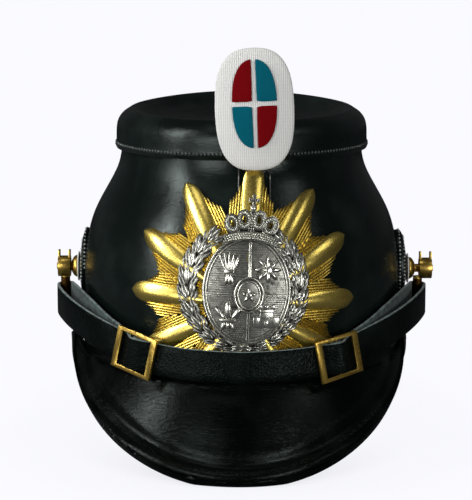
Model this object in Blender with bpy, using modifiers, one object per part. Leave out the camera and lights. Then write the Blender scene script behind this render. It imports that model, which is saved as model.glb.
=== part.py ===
"""A police shako of black leather: a bell-shaped crown with a dished top, a front and a rear peak,
a rayed gilt front plate with a silvered wreath, shield and crown on it, an oval cloth cockade,
and a chin strap doubled back through two slide buckles and hung on side posts.

Metres, +Z up. The hat faces -Y and rests on its two peaks at z = 0, with the origin below the
middle of its length. Heights in the tables are above the crown's lower rim.
"""

import math
from collections import namedtuple

import bmesh
import bpy
from mathutils import Matrix, Vector

MM = 0.001
GAP = 0.3 * MM  # left between pieces that touch

# The crown's lower rim, and where it stands over the surface.
RIM_Z = 48.5 * MM
FRONT_REACH = 138.5 * MM  # crown axis to the front peak's tip
REAR_REACH = 134.5 * MM
CROWN_Y = (FRONT_REACH - REAR_REACH) / 2
CROWN_X = -1.85 * MM  # the right lug stands out further, so the crown lies left of the middle
AROUND = 36  # facets round the crown and its top

# Outer shape of the crown: half sizes of its oval at each height, in millimetres.
# tilt is the forward slope of that oval, in degrees.
Section = namedtuple("Section", "height half_width front back tilt")
CROWN_SECTIONS = (
    Section(0, 84.0, 107.0, 109.0, 0.0),
    Section(14, 86.3, 108.0, 111.0, 0.0),
    Section(38, 87.8, 108.5, 112.0, 0.0),
    Section(54, 86.6, 107.3, 110.0, 0.3),
    Section(66, 84.3, 104.3, 106.0, 0.8),
    Section(76, 80.9, 100.0, 101.0, 1.1),
    Section(86, 75.6, 94.0, 94.5, 1.2),
    Section(96, 70.2, 88.0, 88.0, 1.2),
    Section(106, 66.8, 84.0, 84.0, 1.1),
    Section(121, 66.0, 83.0, 83.0, 1.1),
)
CROWN_WALL = 2.6 * MM

# The dished top, from its lip up over the crest and down into the dish.
# height is from the crest, the half sizes are of its outer face, and slope, in degrees, tips the
# ring forward over the tilt of the whole top.
TopRing = namedtuple("TopRing", "height half_width half_length slope")
TOP_RINGS = (
    TopRing(-21.2, 69.2, 86.2, -1.4),
    TopRing(-19.2, 70.1, 87.1, -1.4),
    TopRing(-17.4, 69.3, 86.3, -1.3),
    TopRing(-9.5, 69.2, 86.2, -0.4),
    TopRing(-4.6, 67.5, 84.5, 0.0),
    TopRing(-1.3, 64.2, 81.2, 0.0),
    TopRing(0.0, 60.0, 77.0, 0.0),
    TopRing(-1.6, 55.6, 72.6, 0.0),
    TopRing(-5.4, 49.5, 66.0, 0.0),
    TopRing(-7.0, 34.0, 47.0, 0.0),
)
BACK_RISE = 2.7 * MM  # how much higher the top's rear edge stands
TOP_WALL = 2.0 * MM
CREST_HEIGHT = 131 * MM
TOP_TILT = math.radians(2.4)
TOP_FORWARD = 0.9 * MM  # keeps the tilted top's lip centred on the crown

# Peaks. Each runs from a short collar on the crown's wall down to an oval edge in a sloping plane.
# shift is how far its edge lies to the right; the corners rise corner_rise up the crown's side.
# steps is how many sections it is lofted through.
Peak = namedtuple("Peak", "facing half_width reach corner corner_rise drop root_angle shift steps")
FRONT_PEAK = Peak(-1, 92.0 * MM, FRONT_REACH, 9.0 * MM, 3.5 * MM, 48.4 * MM, 83.0, -1.6 * MM, 26)
REAR_PEAK = Peak(1, 90.0 * MM, REAR_REACH, 14.0 * MM, 2.0 * MM, 48.4 * MM, 80.0, 0.0, 22)
PEAK_WALL = 2.8 * MM
COLLAR_HEIGHT = 5.0 * MM
# share: how far from collar to edge; rise: how far the leather stands over the straight line.
PeakRow = namedtuple("PeakRow", "share rise")
PEAK_ROWS = (
    PeakRow(1.0, 0.0),
    PeakRow(0.94, 2.2),
    PeakRow(0.87, 1.1),
    PeakRow(0.82, 0.0),
    PeakRow(0.55, 1.6),
    PeakRow(0.25, 1.8),
    PeakRow(0.0, 0.0),
)
PEAK_UNDER = (PeakRow(0.3, 1.6), PeakRow(0.8, 0.6), PeakRow(1.0, 0.6))
CORNER_EASE = 0.7 * MM  # how much further off the crown the collar stands at its corners
EASE_POWER = 8
CORNER_TIP = 3.5 * MM  # how much further a peak's very corners turn up
CORNER_POWER = 12
PEAK_FULL = 30 * MM  # width past which a peak has its whole rise

# Side bosses, washers, posts and the lugs at the strap's ends. The two sides differ a little.
# drum is from the crown's middle to the lug's drum, angle the buckle's place round the strap.
Side = namedtuple("Side", "name way post boss drum buckle_angle")
SIDES = (
    Side("left", -1, 42.0 * MM, 2.7 * MM, 96.0 * MM, 55.4),
    Side("right", 1, 40.8 * MM, 4.5 * MM, 99.8 * MM, 59.3),
)
BOSS_HALF_HEIGHT = 22.0 * MM
BOSS_HALF_DEPTH = 16.0 * MM
BOSS_THINS = 0.55  # share of its thickness that a boss has lost at its foot, behind the strap
# share of the oval's size, and of the boss's thickness.
BossRing = namedtuple("BossRing", "share lift")
BOSS_RINGS = (
    BossRing(0.18, 1.0),
    BossRing(0.62, 1.0),
    BossRing(0.9, 0.93),
    BossRing(1.0, 0.62),
)
WASHER_RADIUS = 8.3 * MM
WASHER_THICK = 0.6 * MM
CONE_RADIUS = 6.2 * MM
CONE_SHOULDER = 5.4 * MM
CONE_NECK = 3.2 * MM
CONE_EDGE = 0.7 * MM
CONE_LENGTH = 3.3 * MM
STEM_RADIUS = 2.3 * MM
STEM_CHAMFER = 0.6 * MM
STEM_PROUD = 0.8 * MM  # how far the stem's end stands out of the drum
DRUM_RADIUS = 5.9 * MM
DRUM_LENGTH = 6.9 * MM
PRONG_THICK = 1.0 * MM
PRONG_DEPTH = 5.0 * MM
PRONG_RISE = 3.2 * MM
PRONG_INSET = 0.55 * MM  # from the drum's end to a prong's middle
TAIL_RADIUS = 2.6 * MM
TAIL_BOTTOM = 17.5 * MM

# Chin strap: the outer run is an oval a little slack of the crown, folded back at each side.
STRAP_WIDTH = 16.0 * MM
STRAP_THICK = 1.8 * MM
STRAP_SIDE = 102.9 * MM
STRAP_FRONT = 116.4 * MM
STRAP_EASE = 5.0 * MM
STRAP_LEAN = math.radians(6)
FOLD_RADIUS = 3.9 * MM
STRAP_STEP = 4.2  # degrees between stations
# angle is from the side, in degrees; height is of the strap's middle.
StrapRow = namedtuple("StrapRow", "angle height")
STRAP_ROWS = (
    StrapRow(0, 24.4),
    StrapRow(12, 24.2),
    StrapRow(24, 21.8),
    StrapRow(35, 18.4),
    StrapRow(45, 15.0),
    StrapRow(62, 8.8),
    StrapRow(90, 6.7),
)
# inset is how far the returning run lies inside the outer one, rise how much higher.
ReturnRow = namedtuple("ReturnRow", "angle inset rise")
RETURN_ROWS = (
    ReturnRow(0, 7.8, 0.8),
    ReturnRow(14, 6.9, 3.8),
    ReturnRow(30, 5.6, 3.4),
    ReturnRow(42, 3.4, 1.2),
    ReturnRow(52, 2.0, 0.0),
)
RETURN_SHORT = 3.4  # degrees short of the buckle, where the loop round its bar begins
FOLD_STEPS = 8
LOOP_STEPS = 9

# Slide buckles.
BUCKLE_WIDTH = 26.5 * MM
BUCKLE_HEIGHT = 21.6 * MM
BUCKLE_SIDE_BAR = 3.4 * MM
BUCKLE_RAIL = 1.9 * MM
BUCKLE_THICK = 1.6 * MM
BUCKLE_STAND = 1.3 * MM  # strap's middle to the frame's back
BAR_RADIUS = 0.9 * MM
BAR_SINK = 0.1 * MM  # the bar's middle over the frame's back
LOOP_RADIUS = 2.1 * MM
LOOP_START = -90  # degrees round the middle bar
LOOP_TURN = 255
SWELL = 5.6 * MM  # how far the strap rises over the buckle's middle bar
SWELL_HALF = 9.3 * MM
SWELL_STEPS = 6
SWELL_SPAN = 1.5  # half the length with fine stations, as a share of SWELL_HALF

# The front plate and what is on it are drawn flat and wrapped on the crown. A spot is where a
# drawing's middle lies: metres to the right, metres over the rim, and its lean in degrees.
Spot = namedtuple("Spot", "right height lean")
PLATE_SPOT = Spot(0.8 * MM, 38.5 * MM, 2.0)
SHIELD_SPOT = Spot(2.1 * MM, 44.4 * MM, 2.0)
WREATH_SPOT = Spot(1.0 * MM, 45.4 * MM, 2.6)
ARMS_CROWN_SPOT = Spot(4.4 * MM, 77.0 * MM, 4.0)
WRAP_RADIUS = 92 * MM
PLATE_BACK = 1.9 * MM
PLATE_FRONT = 2.7 * MM
PLATE_EDGE = 0.5 * MM
LONG_RAY = 64.0 * MM
# turn is from the top, in degrees; length is from the plate's middle, in millimetres.
Ray = namedtuple("Ray", "turn length")
RAYS = (
    Ray(2.8, 68.5),
    Ray(31.4, 64.0),
    Ray(58.0, 61.0),
    Ray(88.5, 58.4),
    Ray(119.0, 57.0),
    Ray(150.0, 42.0),
    Ray(180.0, 38.0),
    Ray(210.0, 42.0),
    Ray(241.0, 57.5),
    Ray(271.8, 59.1),
    Ray(300.2, 61.3),
    Ray(331.3, 63.7),
)
# One side of a long ray's outline: a leaf, the stepped ends of the flutes beside it, the valley.
# across is from the ray's middle and along from the plate's; lift is over the plate's flat.
RayCorner = namedtuple("RayCorner", "across along lift")
RAY_CORNERS = (
    RayCorner(0.0, 64.0, 0.8),
    RayCorner(2.3, 62.9, 0.4),
    RayCorner(4.2, 59.6, 0.2),
    RayCorner(5.0, 54.4, 0.1),
    RayCorner(5.5, 53.6, 0.7),
    RayCorner(7.9, 51.2, 0.6),
    RayCorner(8.5, 48.2, 0.4),
    RayCorner(11.8, 44.0, 0.1),
)
RAY_RIDGE = 2.0 * MM  # the leaf's ridge over the plate's flat, halfway along
PLATE_CENTRE = 8.0 * MM
PLATE_FOOT = 7.5 * MM  # the lowest rays end here, over the peak's collar
PLATE_RIM = 1.5 * MM
FLAT_RADIUS = 34.5 * MM  # inside this the plate is flat, under the wreath and shield

SHIELD_HALF_WIDTH = 22.3 * MM
SHIELD_HALF_HEIGHT = 26.8 * MM
CENTRE_HALF_WIDTH = 6.6 * MM
CENTRE_HALF_HEIGHT = 8.4 * MM
ORNAMENT_BACK = PLATE_FRONT + GAP
# share: from the small centre oval (0) to the shield's edge (1); lift: over the shield's back.
ShieldRing = namedtuple("ShieldRing", "share lift")
SHIELD_RINGS = (
    ShieldRing(-0.28, 1.9),
    ShieldRing(-0.12, 2.8),
    ShieldRing(0.0, 2.8),
    ShieldRing(0.12, 1.8),
    ShieldRing(0.87, 1.8),
    ShieldRing(0.93, 2.6),
    ShieldRing(1.0, 2.3),
)

WREATH_HALF_WIDTH = 34.4 * MM
WREATH_HALF_HEIGHT = 31.8 * MM
WREATH_INNER_WIDTH = 24.8 * MM
WREATH_INNER_HEIGHT = 28.9 * MM
WREATH_START = 31  # degrees from the top, where the branches end beside the crown
WREATH_TAPER = 14  # degrees over which each branch narrows to its tip
WREATH_LEAVES = 11
LEAF_STEPS = 4
WREATH_LOBE = 1.3 * MM
WREATH_LIFT = 2.0 * MM
WREATH_THICK = 1.0 * MM
WREATH_TIP = 0.35  # share of its width that a branch has at its tip
WREATH_FOOT = 0.45  # share of its lift that a branch has at the top and bottom

ARMS_CROWN_THICK = 1.6 * MM
ARMS_CROWN_BACK = PLATE_FRONT + RAY_RIDGE + GAP  # clear of the top ray's ridge
# One side of the small crown, from its middle out, in millimetres from its spot.
CrownColumn = namedtuple("CrownColumn", "out base top swell")
CROWN_COLUMNS = (
    CrownColumn(0.0, -4.4, 13.0, 1.6),
    CrownColumn(1.3, -4.4, 12.6, 1.4),
    CrownColumn(1.9, -4.5, 9.4, 0.8),
    CrownColumn(2.4, -4.5, 7.2, 0.9),
    CrownColumn(4.2, -4.7, 7.2, 1.5),
    CrownColumn(6.8, -5.2, 6.2, 1.0),
    CrownColumn(9.4, -6.0, 5.0, 1.5),
    CrownColumn(12.0, -6.6, 3.2, 1.2),
    CrownColumn(13.4, -5.6, 0.2, 0.6),
)
CROWN_HOLES = ((4.3, 3.0), (9.3, 0.4))  # out and up from the spot, in millimetres
CROWN_HOLE_HALF_WIDTH = 1.1 * MM
CROWN_HOLE_HALF_HEIGHT = 1.8 * MM

# Cockade.
COCKADE_X = 6.3 * MM
COCKADE_HEIGHT = 134.7 * MM
COCKADE_HALF_WIDTH = 20.2 * MM
COCKADE_HALF_HEIGHT = 31.2 * MM
COCKADE_BACK = 89.6 * MM  # from the crown's middle forward
COCKADE_EDGE = 2.6 * MM
COCKADE_DOME = 3.4 * MM
COCKADE_ROLL = math.radians(-2)
OVAL_POWER = 2.8
FIELD_HALF_WIDTH = 11.4 * MM
FIELD_HALF_HEIGHT = 22.4 * MM
FIELD_POWER = 2.4
FIELD_RISE = 3.0 * MM  # how far the coloured oval lies over the cockade's middle
FIELD_CROSS = 1.1 * MM  # half the width of the white cross
FIELD_THICK = 0.4 * MM
FIELD_STAND = 0.45 * MM  # over the true dome, which the cockade's facets lie a little below
WIRE_RADIUS = 0.5 * MM
WIRE_HALF_SPREAD = 8.0 * MM
WIRE_TOP = 148 * MM
WIRE_BOTTOM = 88 * MM
WIRE_OFF_WALL = 0.8 * MM

# Colours, roughness and metallic value of each finish.
Finish = namedtuple("Finish", "colour roughness metallic")
FINISHES = {
    "black_leather": Finish((0.012, 0.013, 0.013), 0.32, 0.0),
    "strap_leather": Finish((0.015, 0.016, 0.016), 0.5, 0.0),
    "gilt_brass": Finish((0.78, 0.55, 0.16), 0.3, 1.0),
    "aged_brass": Finish((0.55, 0.36, 0.10), 0.34, 1.0),
    "silvered": Finish((0.62, 0.61, 0.58), 0.28, 1.0),
    "steel_wire": Finish((0.45, 0.45, 0.45), 0.4, 1.0),
    "white_cloth": Finish((0.80, 0.80, 0.78), 0.85, 0.0),
    "red_cloth": Finish((0.30, 0.004, 0.008), 0.8, 0.0),
    "blue_cloth": Finish((0.01, 0.16, 0.26), 0.8, 0.0),
}


# ---------------------------------------------------------------- scene and mesh helpers


def clear_scene():
    for thing in list(bpy.data.objects):
        bpy.data.objects.remove(thing)


def collection(name):
    made = bpy.data.collections.new(name)
    bpy.context.scene.collection.children.link(made)
    return made


def material(name):
    found = bpy.data.materials.get(name)
    if found:
        return found
    finish = FINISHES[name]
    made = bpy.data.materials.new(name)
    made.use_nodes = True
    shader = made.node_tree.nodes["Principled BSDF"]
    shader.inputs["Base Color"].default_value = (*finish.colour, 1.0)
    shader.inputs["Roughness"].default_value = finish.roughness
    shader.inputs["Metallic"].default_value = finish.metallic
    return made


def keep(name, mesh, finish, where=None):
    """A named object for this mesh, in the shako's collection or another."""
    thing = bpy.data.objects.new(name, mesh)
    (where or bpy.data.collections["shako"]).objects.link(thing)
    mesh.materials.clear()
    mesh.materials.append(material(finish))
    mesh.shade_smooth()
    mesh.set_sharp_from_angle(angle=math.radians(38))
    return thing


def skin(name, loops, finish, ring=True, capped=False):
    """A surface through loops of equal length. capped closes it at both ends into a solid."""
    shape = bmesh.new()
    grid = [[shape.verts.new(point) for point in loop] for loop in loops]
    count = len(loops[0])
    for near, far in zip(grid, grid[1:]):
        for i in range(count if ring else count - 1):
            j = (i + 1) % count
            shape.faces.new((near[i], near[j], far[j], far[i]))
    if capped:
        shape.faces.new(grid[0][::-1])
        shape.faces.new(grid[-1])
        bmesh.ops.recalc_face_normals(shape, faces=shape.faces)
    mesh = bpy.data.meshes.new(name)
    shape.to_mesh(mesh)
    shape.free()
    return keep(name, mesh, finish)


def thicken(thing, wall, offset=-1.0):
    """Gives an open surface its wall, inwards unless offset says otherwise."""
    modifier = thing.modifiers.new("wall", "SOLIDIFY")
    modifier.thickness = wall
    modifier.offset = offset
    modifier.use_even_offset = True
    return thing


def applied(thing):
    """The same object with its modifiers made part of its mesh."""
    bpy.context.view_layer.update()
    graph = bpy.context.evaluated_depsgraph_get()
    mesh = bpy.data.meshes.new_from_object(thing.evaluated_get(graph))
    thing.modifiers.clear()
    thing.data = mesh
    return thing


def turned(name, profile, finish, steps=24, where=None):
    """A shape turned about Z from (radius, height) pairs, which run down its outer side."""
    mesh = bpy.data.meshes.new(name)
    points = [(radius, 0.0, height) for radius, height in profile]
    mesh.from_pydata(points, [(i, i + 1) for i in range(len(points) - 1)], [])
    thing = keep(name, mesh, finish, where)
    screw = thing.modifiers.new("turn", "SCREW")
    screw.steps = steps
    screw.render_steps = steps
    screw.use_merge_vertices = True
    screw.merge_threshold = 0.00001
    return applied(thing)


def box(name, size, finish, where=None):
    shape = bmesh.new()
    bmesh.ops.create_cube(shape, size=1.0)
    bmesh.ops.scale(shape, vec=size, verts=shape.verts)
    mesh = bpy.data.meshes.new(name)
    shape.to_mesh(mesh)
    shape.free()
    return keep(name, mesh, finish, where)


def rod(name, radius, length, finish, segments=16, where=None):
    shape = bmesh.new()
    bmesh.ops.create_cone(shape, cap_ends=True, segments=segments, radius1=radius,
                          radius2=radius, depth=length)
    mesh = bpy.data.meshes.new(name)
    shape.to_mesh(mesh)
    shape.free()
    return keep(name, mesh, finish, where)


def combine(thing, tools, operation):
    """Joins helper shapes to a piece, or cuts them from it, and drops the helpers."""
    for tool in tools:
        modifier = thing.modifiers.new(operation.lower(), "BOOLEAN")
        modifier.operation = operation
        modifier.solver = "EXACT"
        modifier.object = tool
    applied(thing)
    for tool in tools:
        bpy.data.objects.remove(tool)
    thing.data.materials.clear()
    return thing


def between(rows, column, at):
    """A smooth value of one column of a table, between its rows. The first column is where."""
    keys = [row[0] for row in rows]
    values = [getattr(row, column) for row in rows]
    at = min(max(at, keys[0]), keys[-1])
    i = max(k for k in range(len(keys) - 1) if keys[k] <= at)

    def slope(k):
        low, high = max(k - 1, 0), min(k + 1, len(keys) - 1)
        return (values[high] - values[low]) / (keys[high] - keys[low])

    span = keys[i + 1] - keys[i]
    t = (at - keys[i]) / span
    near = (1 + 2 * t) * (1 - t) ** 2 * values[i] + t * (1 - t) ** 2 * span * slope(i)
    far = t * t * (3 - 2 * t) * values[i + 1] + t * t * (t - 1) * span * slope(i + 1)
    return near + far


# ---------------------------------------------------------------- the crown's surface


def crown_point(angle, height, off=0.0):
    """A point on the crown's outer wall, off metres out from it.

    angle is in radians from the front towards +X, height is above the rim.
    """
    level = height
    for _ in range(5):
        half_width, half_length, tilt = crown_oval(level, angle)
        y = -half_length * math.cos(angle)
        level = height - y * math.tan(tilt)
    point = Vector((half_width * math.sin(angle), y, height))
    if off:
        step, rise = 0.01, 0.5 * MM
        along = crown_point(angle + step, height) - crown_point(angle - step, height)
        up = crown_point(angle, height + rise) - crown_point(angle, height - rise)
        point += along.cross(up).normalized() * off
    return point


def crown_oval(level, angle):
    key = level / MM
    length = "front" if math.cos(angle) > 0 else "back"
    return (
        between(CROWN_SECTIONS, "half_width", key) * MM,
        between(CROWN_SECTIONS, length, key) * MM,
        math.radians(between(CROWN_SECTIONS, "tilt", key)),
    )


def placed(point):
    """From the crown's own frame, with its rim at height 0, to the hat's."""
    return Vector((point[0] + CROWN_X, point[1] + CROWN_Y, point[2] + RIM_Z))


def wrapped(spot, across, up, off):
    """A point drawn flat about a spot, laid on the crown's front and off metres out from it."""
    lean_cos, lean_sin = math.cos(math.radians(spot.lean)), math.sin(math.radians(spot.lean))
    right = spot.right + across * lean_cos + up * lean_sin
    height = spot.height + up * lean_cos - across * lean_sin
    x = WRAP_RADIUS * math.sin(right / WRAP_RADIUS)
    half_width = between(CROWN_SECTIONS, "half_width", height / MM) * MM
    return placed(crown_point(math.asin(x / half_width), height, off))


# ---------------------------------------------------------------- leather pieces


def crown_shell():
    loops = []
    for section in CROWN_SECTIONS:
        tilt = math.tan(math.radians(section.tilt))
        loop = []
        for i in range(AROUND):
            angle = 2 * math.pi * i / AROUND
            length = section.front if math.cos(angle) > 0 else section.back
            y = -length * math.cos(angle)
            point = (section.half_width * math.sin(angle), y, section.height + y * tilt)
            loop.append(placed(Vector(point) * MM))
        loops.append(loop)
    return thicken(skin("crown_shell", loops, "black_leather"), CROWN_WALL)


def crown_top():
    loops = []
    for ring in TOP_RINGS:
        loop = []
        for i in range(AROUND):
            angle = 2 * math.pi * i / AROUND
            x, y = ring.half_width * math.sin(angle), -ring.half_length * math.cos(angle)
            rise = max(0.0, y / TOP_RINGS[0].half_length) ** 3 * BACK_RISE / MM
            tipped = y * math.tan(math.radians(ring.slope))
            loop.append(Vector((x, y, ring.height + tipped + rise)) * MM)
        loops.append(loop)
    top = skin("crown_top", loops, "black_leather")
    closing = bmesh.new()
    closing.from_mesh(top.data)
    rim = [edge for edge in closing.edges if edge.is_boundary]
    inner = [edge for edge in rim if edge.verts[0].co.z > TOP_RINGS[0].height / 2 * MM]
    bmesh.ops.contextual_create(closing, geom=inner)
    closing.to_mesh(top.data)
    closing.free()
    top.rotation_euler = (TOP_TILT, 0.0, 0.0)
    top.location = placed((0.0, -TOP_FORWARD, CREST_HEIGHT))
    return thicken(top, TOP_WALL)


def collar_point(peak, swing, height, off):
    """A point of the peak's collar, which stands off the crown a little more at its corners."""
    angle = math.radians(swing * peak.root_angle)
    if peak.facing > 0:
        angle = math.pi - angle
    return crown_point(angle, height, GAP + off + CORNER_EASE * swing ** EASE_POWER)


def peak_point(peak, swing, row, under=0.0):
    """A point of a peak, under metres below its upper face. swing is -1 to 1, corner to corner."""
    turn = swing * math.pi / 2
    root = collar_point(peak, swing, 0.0, PEAK_WALL)
    run = (peak.reach - peak.corner) * math.cos(turn)
    height = peak.corner_rise * math.sin(turn) ** 2 - peak.drop * math.cos(turn)
    height += CORNER_TIP * math.sin(turn) ** CORNER_POWER
    edge = Vector((peak.half_width * math.sin(turn) + peak.shift,
                   peak.facing * (peak.corner + run), height))
    out = edge - root
    lift = Vector((0.0, 0.0, 1.0))
    lift = (lift - out * out.dot(lift) / out.length_squared).normalized()
    rise = row.rise * MM * min(1.0, out.length / PEAK_FULL)
    return root + out * row.share + lift * (rise - under)


def peak(name, shape):
    """A peak with its collar, lofted through its sections from corner to corner."""
    loops = []
    for i in range(shape.steps + 1):
        swing = -1 + 2 * i / shape.steps
        section = [peak_point(shape, swing, row) for row in PEAK_ROWS]
        section += [collar_point(shape, swing, COLLAR_HEIGHT, PEAK_WALL),
                    collar_point(shape, swing, COLLAR_HEIGHT, 0.0),
                    collar_point(shape, swing, -PEAK_WALL, 0.0)]
        section += [peak_point(shape, swing, row, PEAK_WALL) for row in PEAK_UNDER]
        loops.append([placed(point) for point in section])
    return rested(skin(name, loops, "black_leather", capped=True))


def rested(piece):
    """Takes off what would lie below the surface, as where leather is worn flat."""
    shape = bmesh.new()
    shape.from_mesh(piece.data)
    parts = shape.verts[:] + shape.edges[:] + shape.faces[:]
    cut = bmesh.ops.bisect_plane(shape, geom=parts, plane_co=(0, 0, 0), plane_no=(0, 0, -1),
                                 clear_outer=True)
    edges = [part for part in cut["geom_cut"] if isinstance(part, bmesh.types.BMEdge)]
    bmesh.ops.holes_fill(shape, edges=edges)
    bmesh.ops.recalc_face_normals(shape, faces=shape.faces)
    shape.to_mesh(piece.data)
    shape.free()
    return piece


# ---------------------------------------------------------------- chin strap and buckles


def strap_plan(angle, side):
    """The outer run seen from above, for an angle in radians from the side to the front."""
    x = STRAP_SIDE * math.cos(angle) - STRAP_EASE * math.sin(2 * angle)
    return Vector((side * x, -STRAP_FRONT * math.sin(angle), 0.0))


def strap_frame(angle, side):
    """Middle of the strap, and its directions along, up and out."""
    height = between(STRAP_ROWS, "height", math.degrees(angle)) * MM
    middle = strap_plan(angle, side) + Vector((0, 0, height))
    step = 0.02
    ahead, behind = min(angle + step, math.pi / 2), max(angle - step, 0.0)
    along = strap_plan(ahead, side) - strap_plan(behind, side)
    rise = between(STRAP_ROWS, "height", math.degrees(ahead))
    rise -= between(STRAP_ROWS, "height", math.degrees(behind))
    flat_out = Vector((-along.y, along.x, 0.0)).normalized() * side
    along = Vector((along.x, along.y, rise * MM)).normalized()
    lean = STRAP_LEAN * math.sin(angle) ** 2
    up = Vector((0, 0, math.cos(lean))) - flat_out * math.sin(lean)
    up = (up - along * up.dot(along)).normalized()
    return middle, along, up, up.cross(along).normalized() * side


def strap_speed(side):
    """Metres of strap for each radian, near the buckle."""
    angle, step = math.radians(side.buckle_angle), 0.01
    run = strap_plan(angle + step, side.way) - strap_plan(angle - step, side.way)
    return run.length / (2 * step)


def outer_run(side):
    """Stations from the front middle round to the side, rising over the buckle's middle bar."""
    stations = []
    speed = strap_speed(side)
    buckle_angle = math.radians(side.buckle_angle)
    angles = [buckle_angle + SWELL_SPAN * SWELL_HALF * step / SWELL_STEPS / speed
              for step in range(-SWELL_STEPS, SWELL_STEPS + 1)]
    count = round(90 / STRAP_STEP)
    for i in range(count + 1):
        angle = math.pi / 2 * i / count
        if abs(angle - buckle_angle) * speed > (SWELL_SPAN + 0.3) * SWELL_HALF:
            angles.append(angle)
    for angle in sorted(angles, reverse=True):
        middle, _, up, out = strap_frame(angle, side.way)
        past = (angle - buckle_angle) * speed
        if abs(past) < SWELL_HALF:
            middle = middle + out * SWELL * math.cos(math.pi * past / (2 * SWELL_HALF)) ** 2
        stations.append((middle, up))
    return stations


def fold(side):
    """Stations of the half turn round the lug's tail."""
    _, _, up, _ = strap_frame(0.0, side.way)
    stations = []
    for i in range(1, FOLD_STEPS):
        turn = math.pi * i / FOLD_STEPS
        x = STRAP_SIDE - FOLD_RADIUS + FOLD_RADIUS * math.cos(turn)
        height = (STRAP_ROWS[0].height + RETURN_ROWS[0].rise * i / FOLD_STEPS) * MM
        stations.append((Vector((side.way * x, FOLD_RADIUS * math.sin(turn), height)), up))
    return stations


def return_run(side):
    """Stations from the fold back to the buckle, inside the outer run."""
    stations = []
    end = side.buckle_angle - RETURN_SHORT
    count = round(end / STRAP_STEP)
    for i in range(count + 1):
        degrees = end * i / count
        row_angle = RETURN_ROWS[-1].angle * i / count
        middle, _, up, out = strap_frame(math.radians(degrees), side.way)
        inset = between(RETURN_ROWS, "inset", row_angle) * MM
        rise = between(RETURN_ROWS, "rise", row_angle) * MM
        stations.append((middle - out * inset + up * rise, up))
    return stations


def bar_loop(side):
    """Stations of the strap's end, wrapped round the buckle's middle bar."""
    middle, along, up, out = strap_frame(math.radians(side.buckle_angle), side.way)
    centre = middle + out * BUCKLE_STAND
    stations = []
    for i in range(LOOP_STEPS + 1):
        turn = math.radians(LOOP_START + LOOP_TURN * i / LOOP_STEPS)
        offset = along * math.cos(turn) + out * math.sin(turn)
        stations.append((centre + offset * LOOP_RADIUS, up))
    return stations


def chin_strap():
    left, right = (outer_run(side) + fold(side) + return_run(side) + bar_loop(side)
                   for side in SIDES)
    stations = left[::-1] + right[1:]
    half = STRAP_WIDTH / 2
    loops = [[placed(middle + up * half * way) for middle, up in stations] for way in (-1, 1)]
    return thicken(skin("chin_strap", loops, "strap_leather", ring=False), STRAP_THICK, 0.0)


def buckle(side):
    """A flat frame with a middle bar, set on the strap."""
    helpers = bpy.data.collections["helpers"]
    middle, along, up, out = strap_frame(math.radians(side.buckle_angle), side.way)
    frame = box(f"buckle_{side.name}", (BUCKLE_WIDTH, BUCKLE_HEIGHT, BUCKLE_THICK),
                "aged_brass")
    window = box("window", (BUCKLE_WIDTH - 2 * BUCKLE_SIDE_BAR,
                            BUCKLE_HEIGHT - 2 * BUCKLE_RAIL, 4 * BUCKLE_THICK),
                 "aged_brass", helpers)
    combine(frame, [window], "DIFFERENCE")
    bar = rod("bar", BAR_RADIUS, BUCKLE_HEIGHT - BUCKLE_RAIL, "aged_brass", 12, helpers)
    bar.matrix_world = (Matrix.Translation((0, 0, BAR_SINK - BUCKLE_THICK / 2))
                        @ Matrix.Rotation(math.pi / 2, 4, "X"))
    combine(frame, [bar], "UNION")
    frame.data.materials.append(material("aged_brass"))
    turn = Matrix((along * -side.way, up, out)).transposed()
    place = placed(middle + out * (BUCKLE_STAND + BUCKLE_THICK / 2))
    frame.matrix_world = Matrix.Translation(place) @ turn.to_4x4()
    return frame


# ---------------------------------------------------------------- side fittings


def on_post(side, out):
    """A place on the post's axis, out metres from the crown's middle, +Z pointing outwards."""
    place = placed((side.way * out, 0.0, side.post))
    return Matrix.Translation(place) @ Matrix.Rotation(side.way * math.pi / 2, 4, "Y")


def boss_face(side):
    return CROWN_SECTIONS[2].half_width * MM + GAP + side.boss


def boss(side):
    """An oval leather boss that follows the crown's side."""
    segments = 18
    depth_angle = BOSS_HALF_DEPTH / (CROWN_SECTIONS[2].front * MM)
    rows = [(ring.share, 0.0) for ring in BOSS_RINGS]
    rows += [(ring.share, ring.lift) for ring in reversed(BOSS_RINGS)]
    loops = []
    for share, lift in rows:
        loop = []
        for i in range(segments):
            turn = 2 * math.pi * i / segments
            angle = side.way * (math.pi / 2 + share * depth_angle * math.cos(turn))
            up = share * math.sin(turn)
            thick = side.boss * lift * (1 - BOSS_THINS * max(0.0, -up))
            point = crown_point(angle, side.post + up * BOSS_HALF_HEIGHT, GAP + thick)
            loop.append(placed(point))
        loops.append(loop)
    return skin(f"side_boss_{side.name}", loops, "black_leather", capped=True)


def washer(side):
    disc = rod(f"washer_{side.name}", WASHER_RADIUS, WASHER_THICK, "silvered", 18)
    disc.matrix_world = on_post(side, boss_face(side) + GAP + WASHER_THICK / 2)
    return disc


def post(side):
    """A coned collar with a plain stem for the lug."""
    start = boss_face(side) + WASHER_THICK + 2 * GAP
    end = side.drum + DRUM_LENGTH + STEM_PROUD - start
    profile = (
        (0.0, end),
        (STEM_RADIUS - STEM_CHAMFER, end),
        (STEM_RADIUS, end - STEM_CHAMFER),
        (STEM_RADIUS, CONE_LENGTH),
        (CONE_NECK, CONE_LENGTH),
        (CONE_SHOULDER, CONE_LENGTH * 0.6),
        (CONE_RADIUS, CONE_EDGE),
        (CONE_RADIUS, 0.0),
        (0.0, 0.0),
    )
    piece = turned(f"post_{side.name}", profile, "aged_brass", 16)
    piece.matrix_world = on_post(side, start)
    return piece


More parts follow.
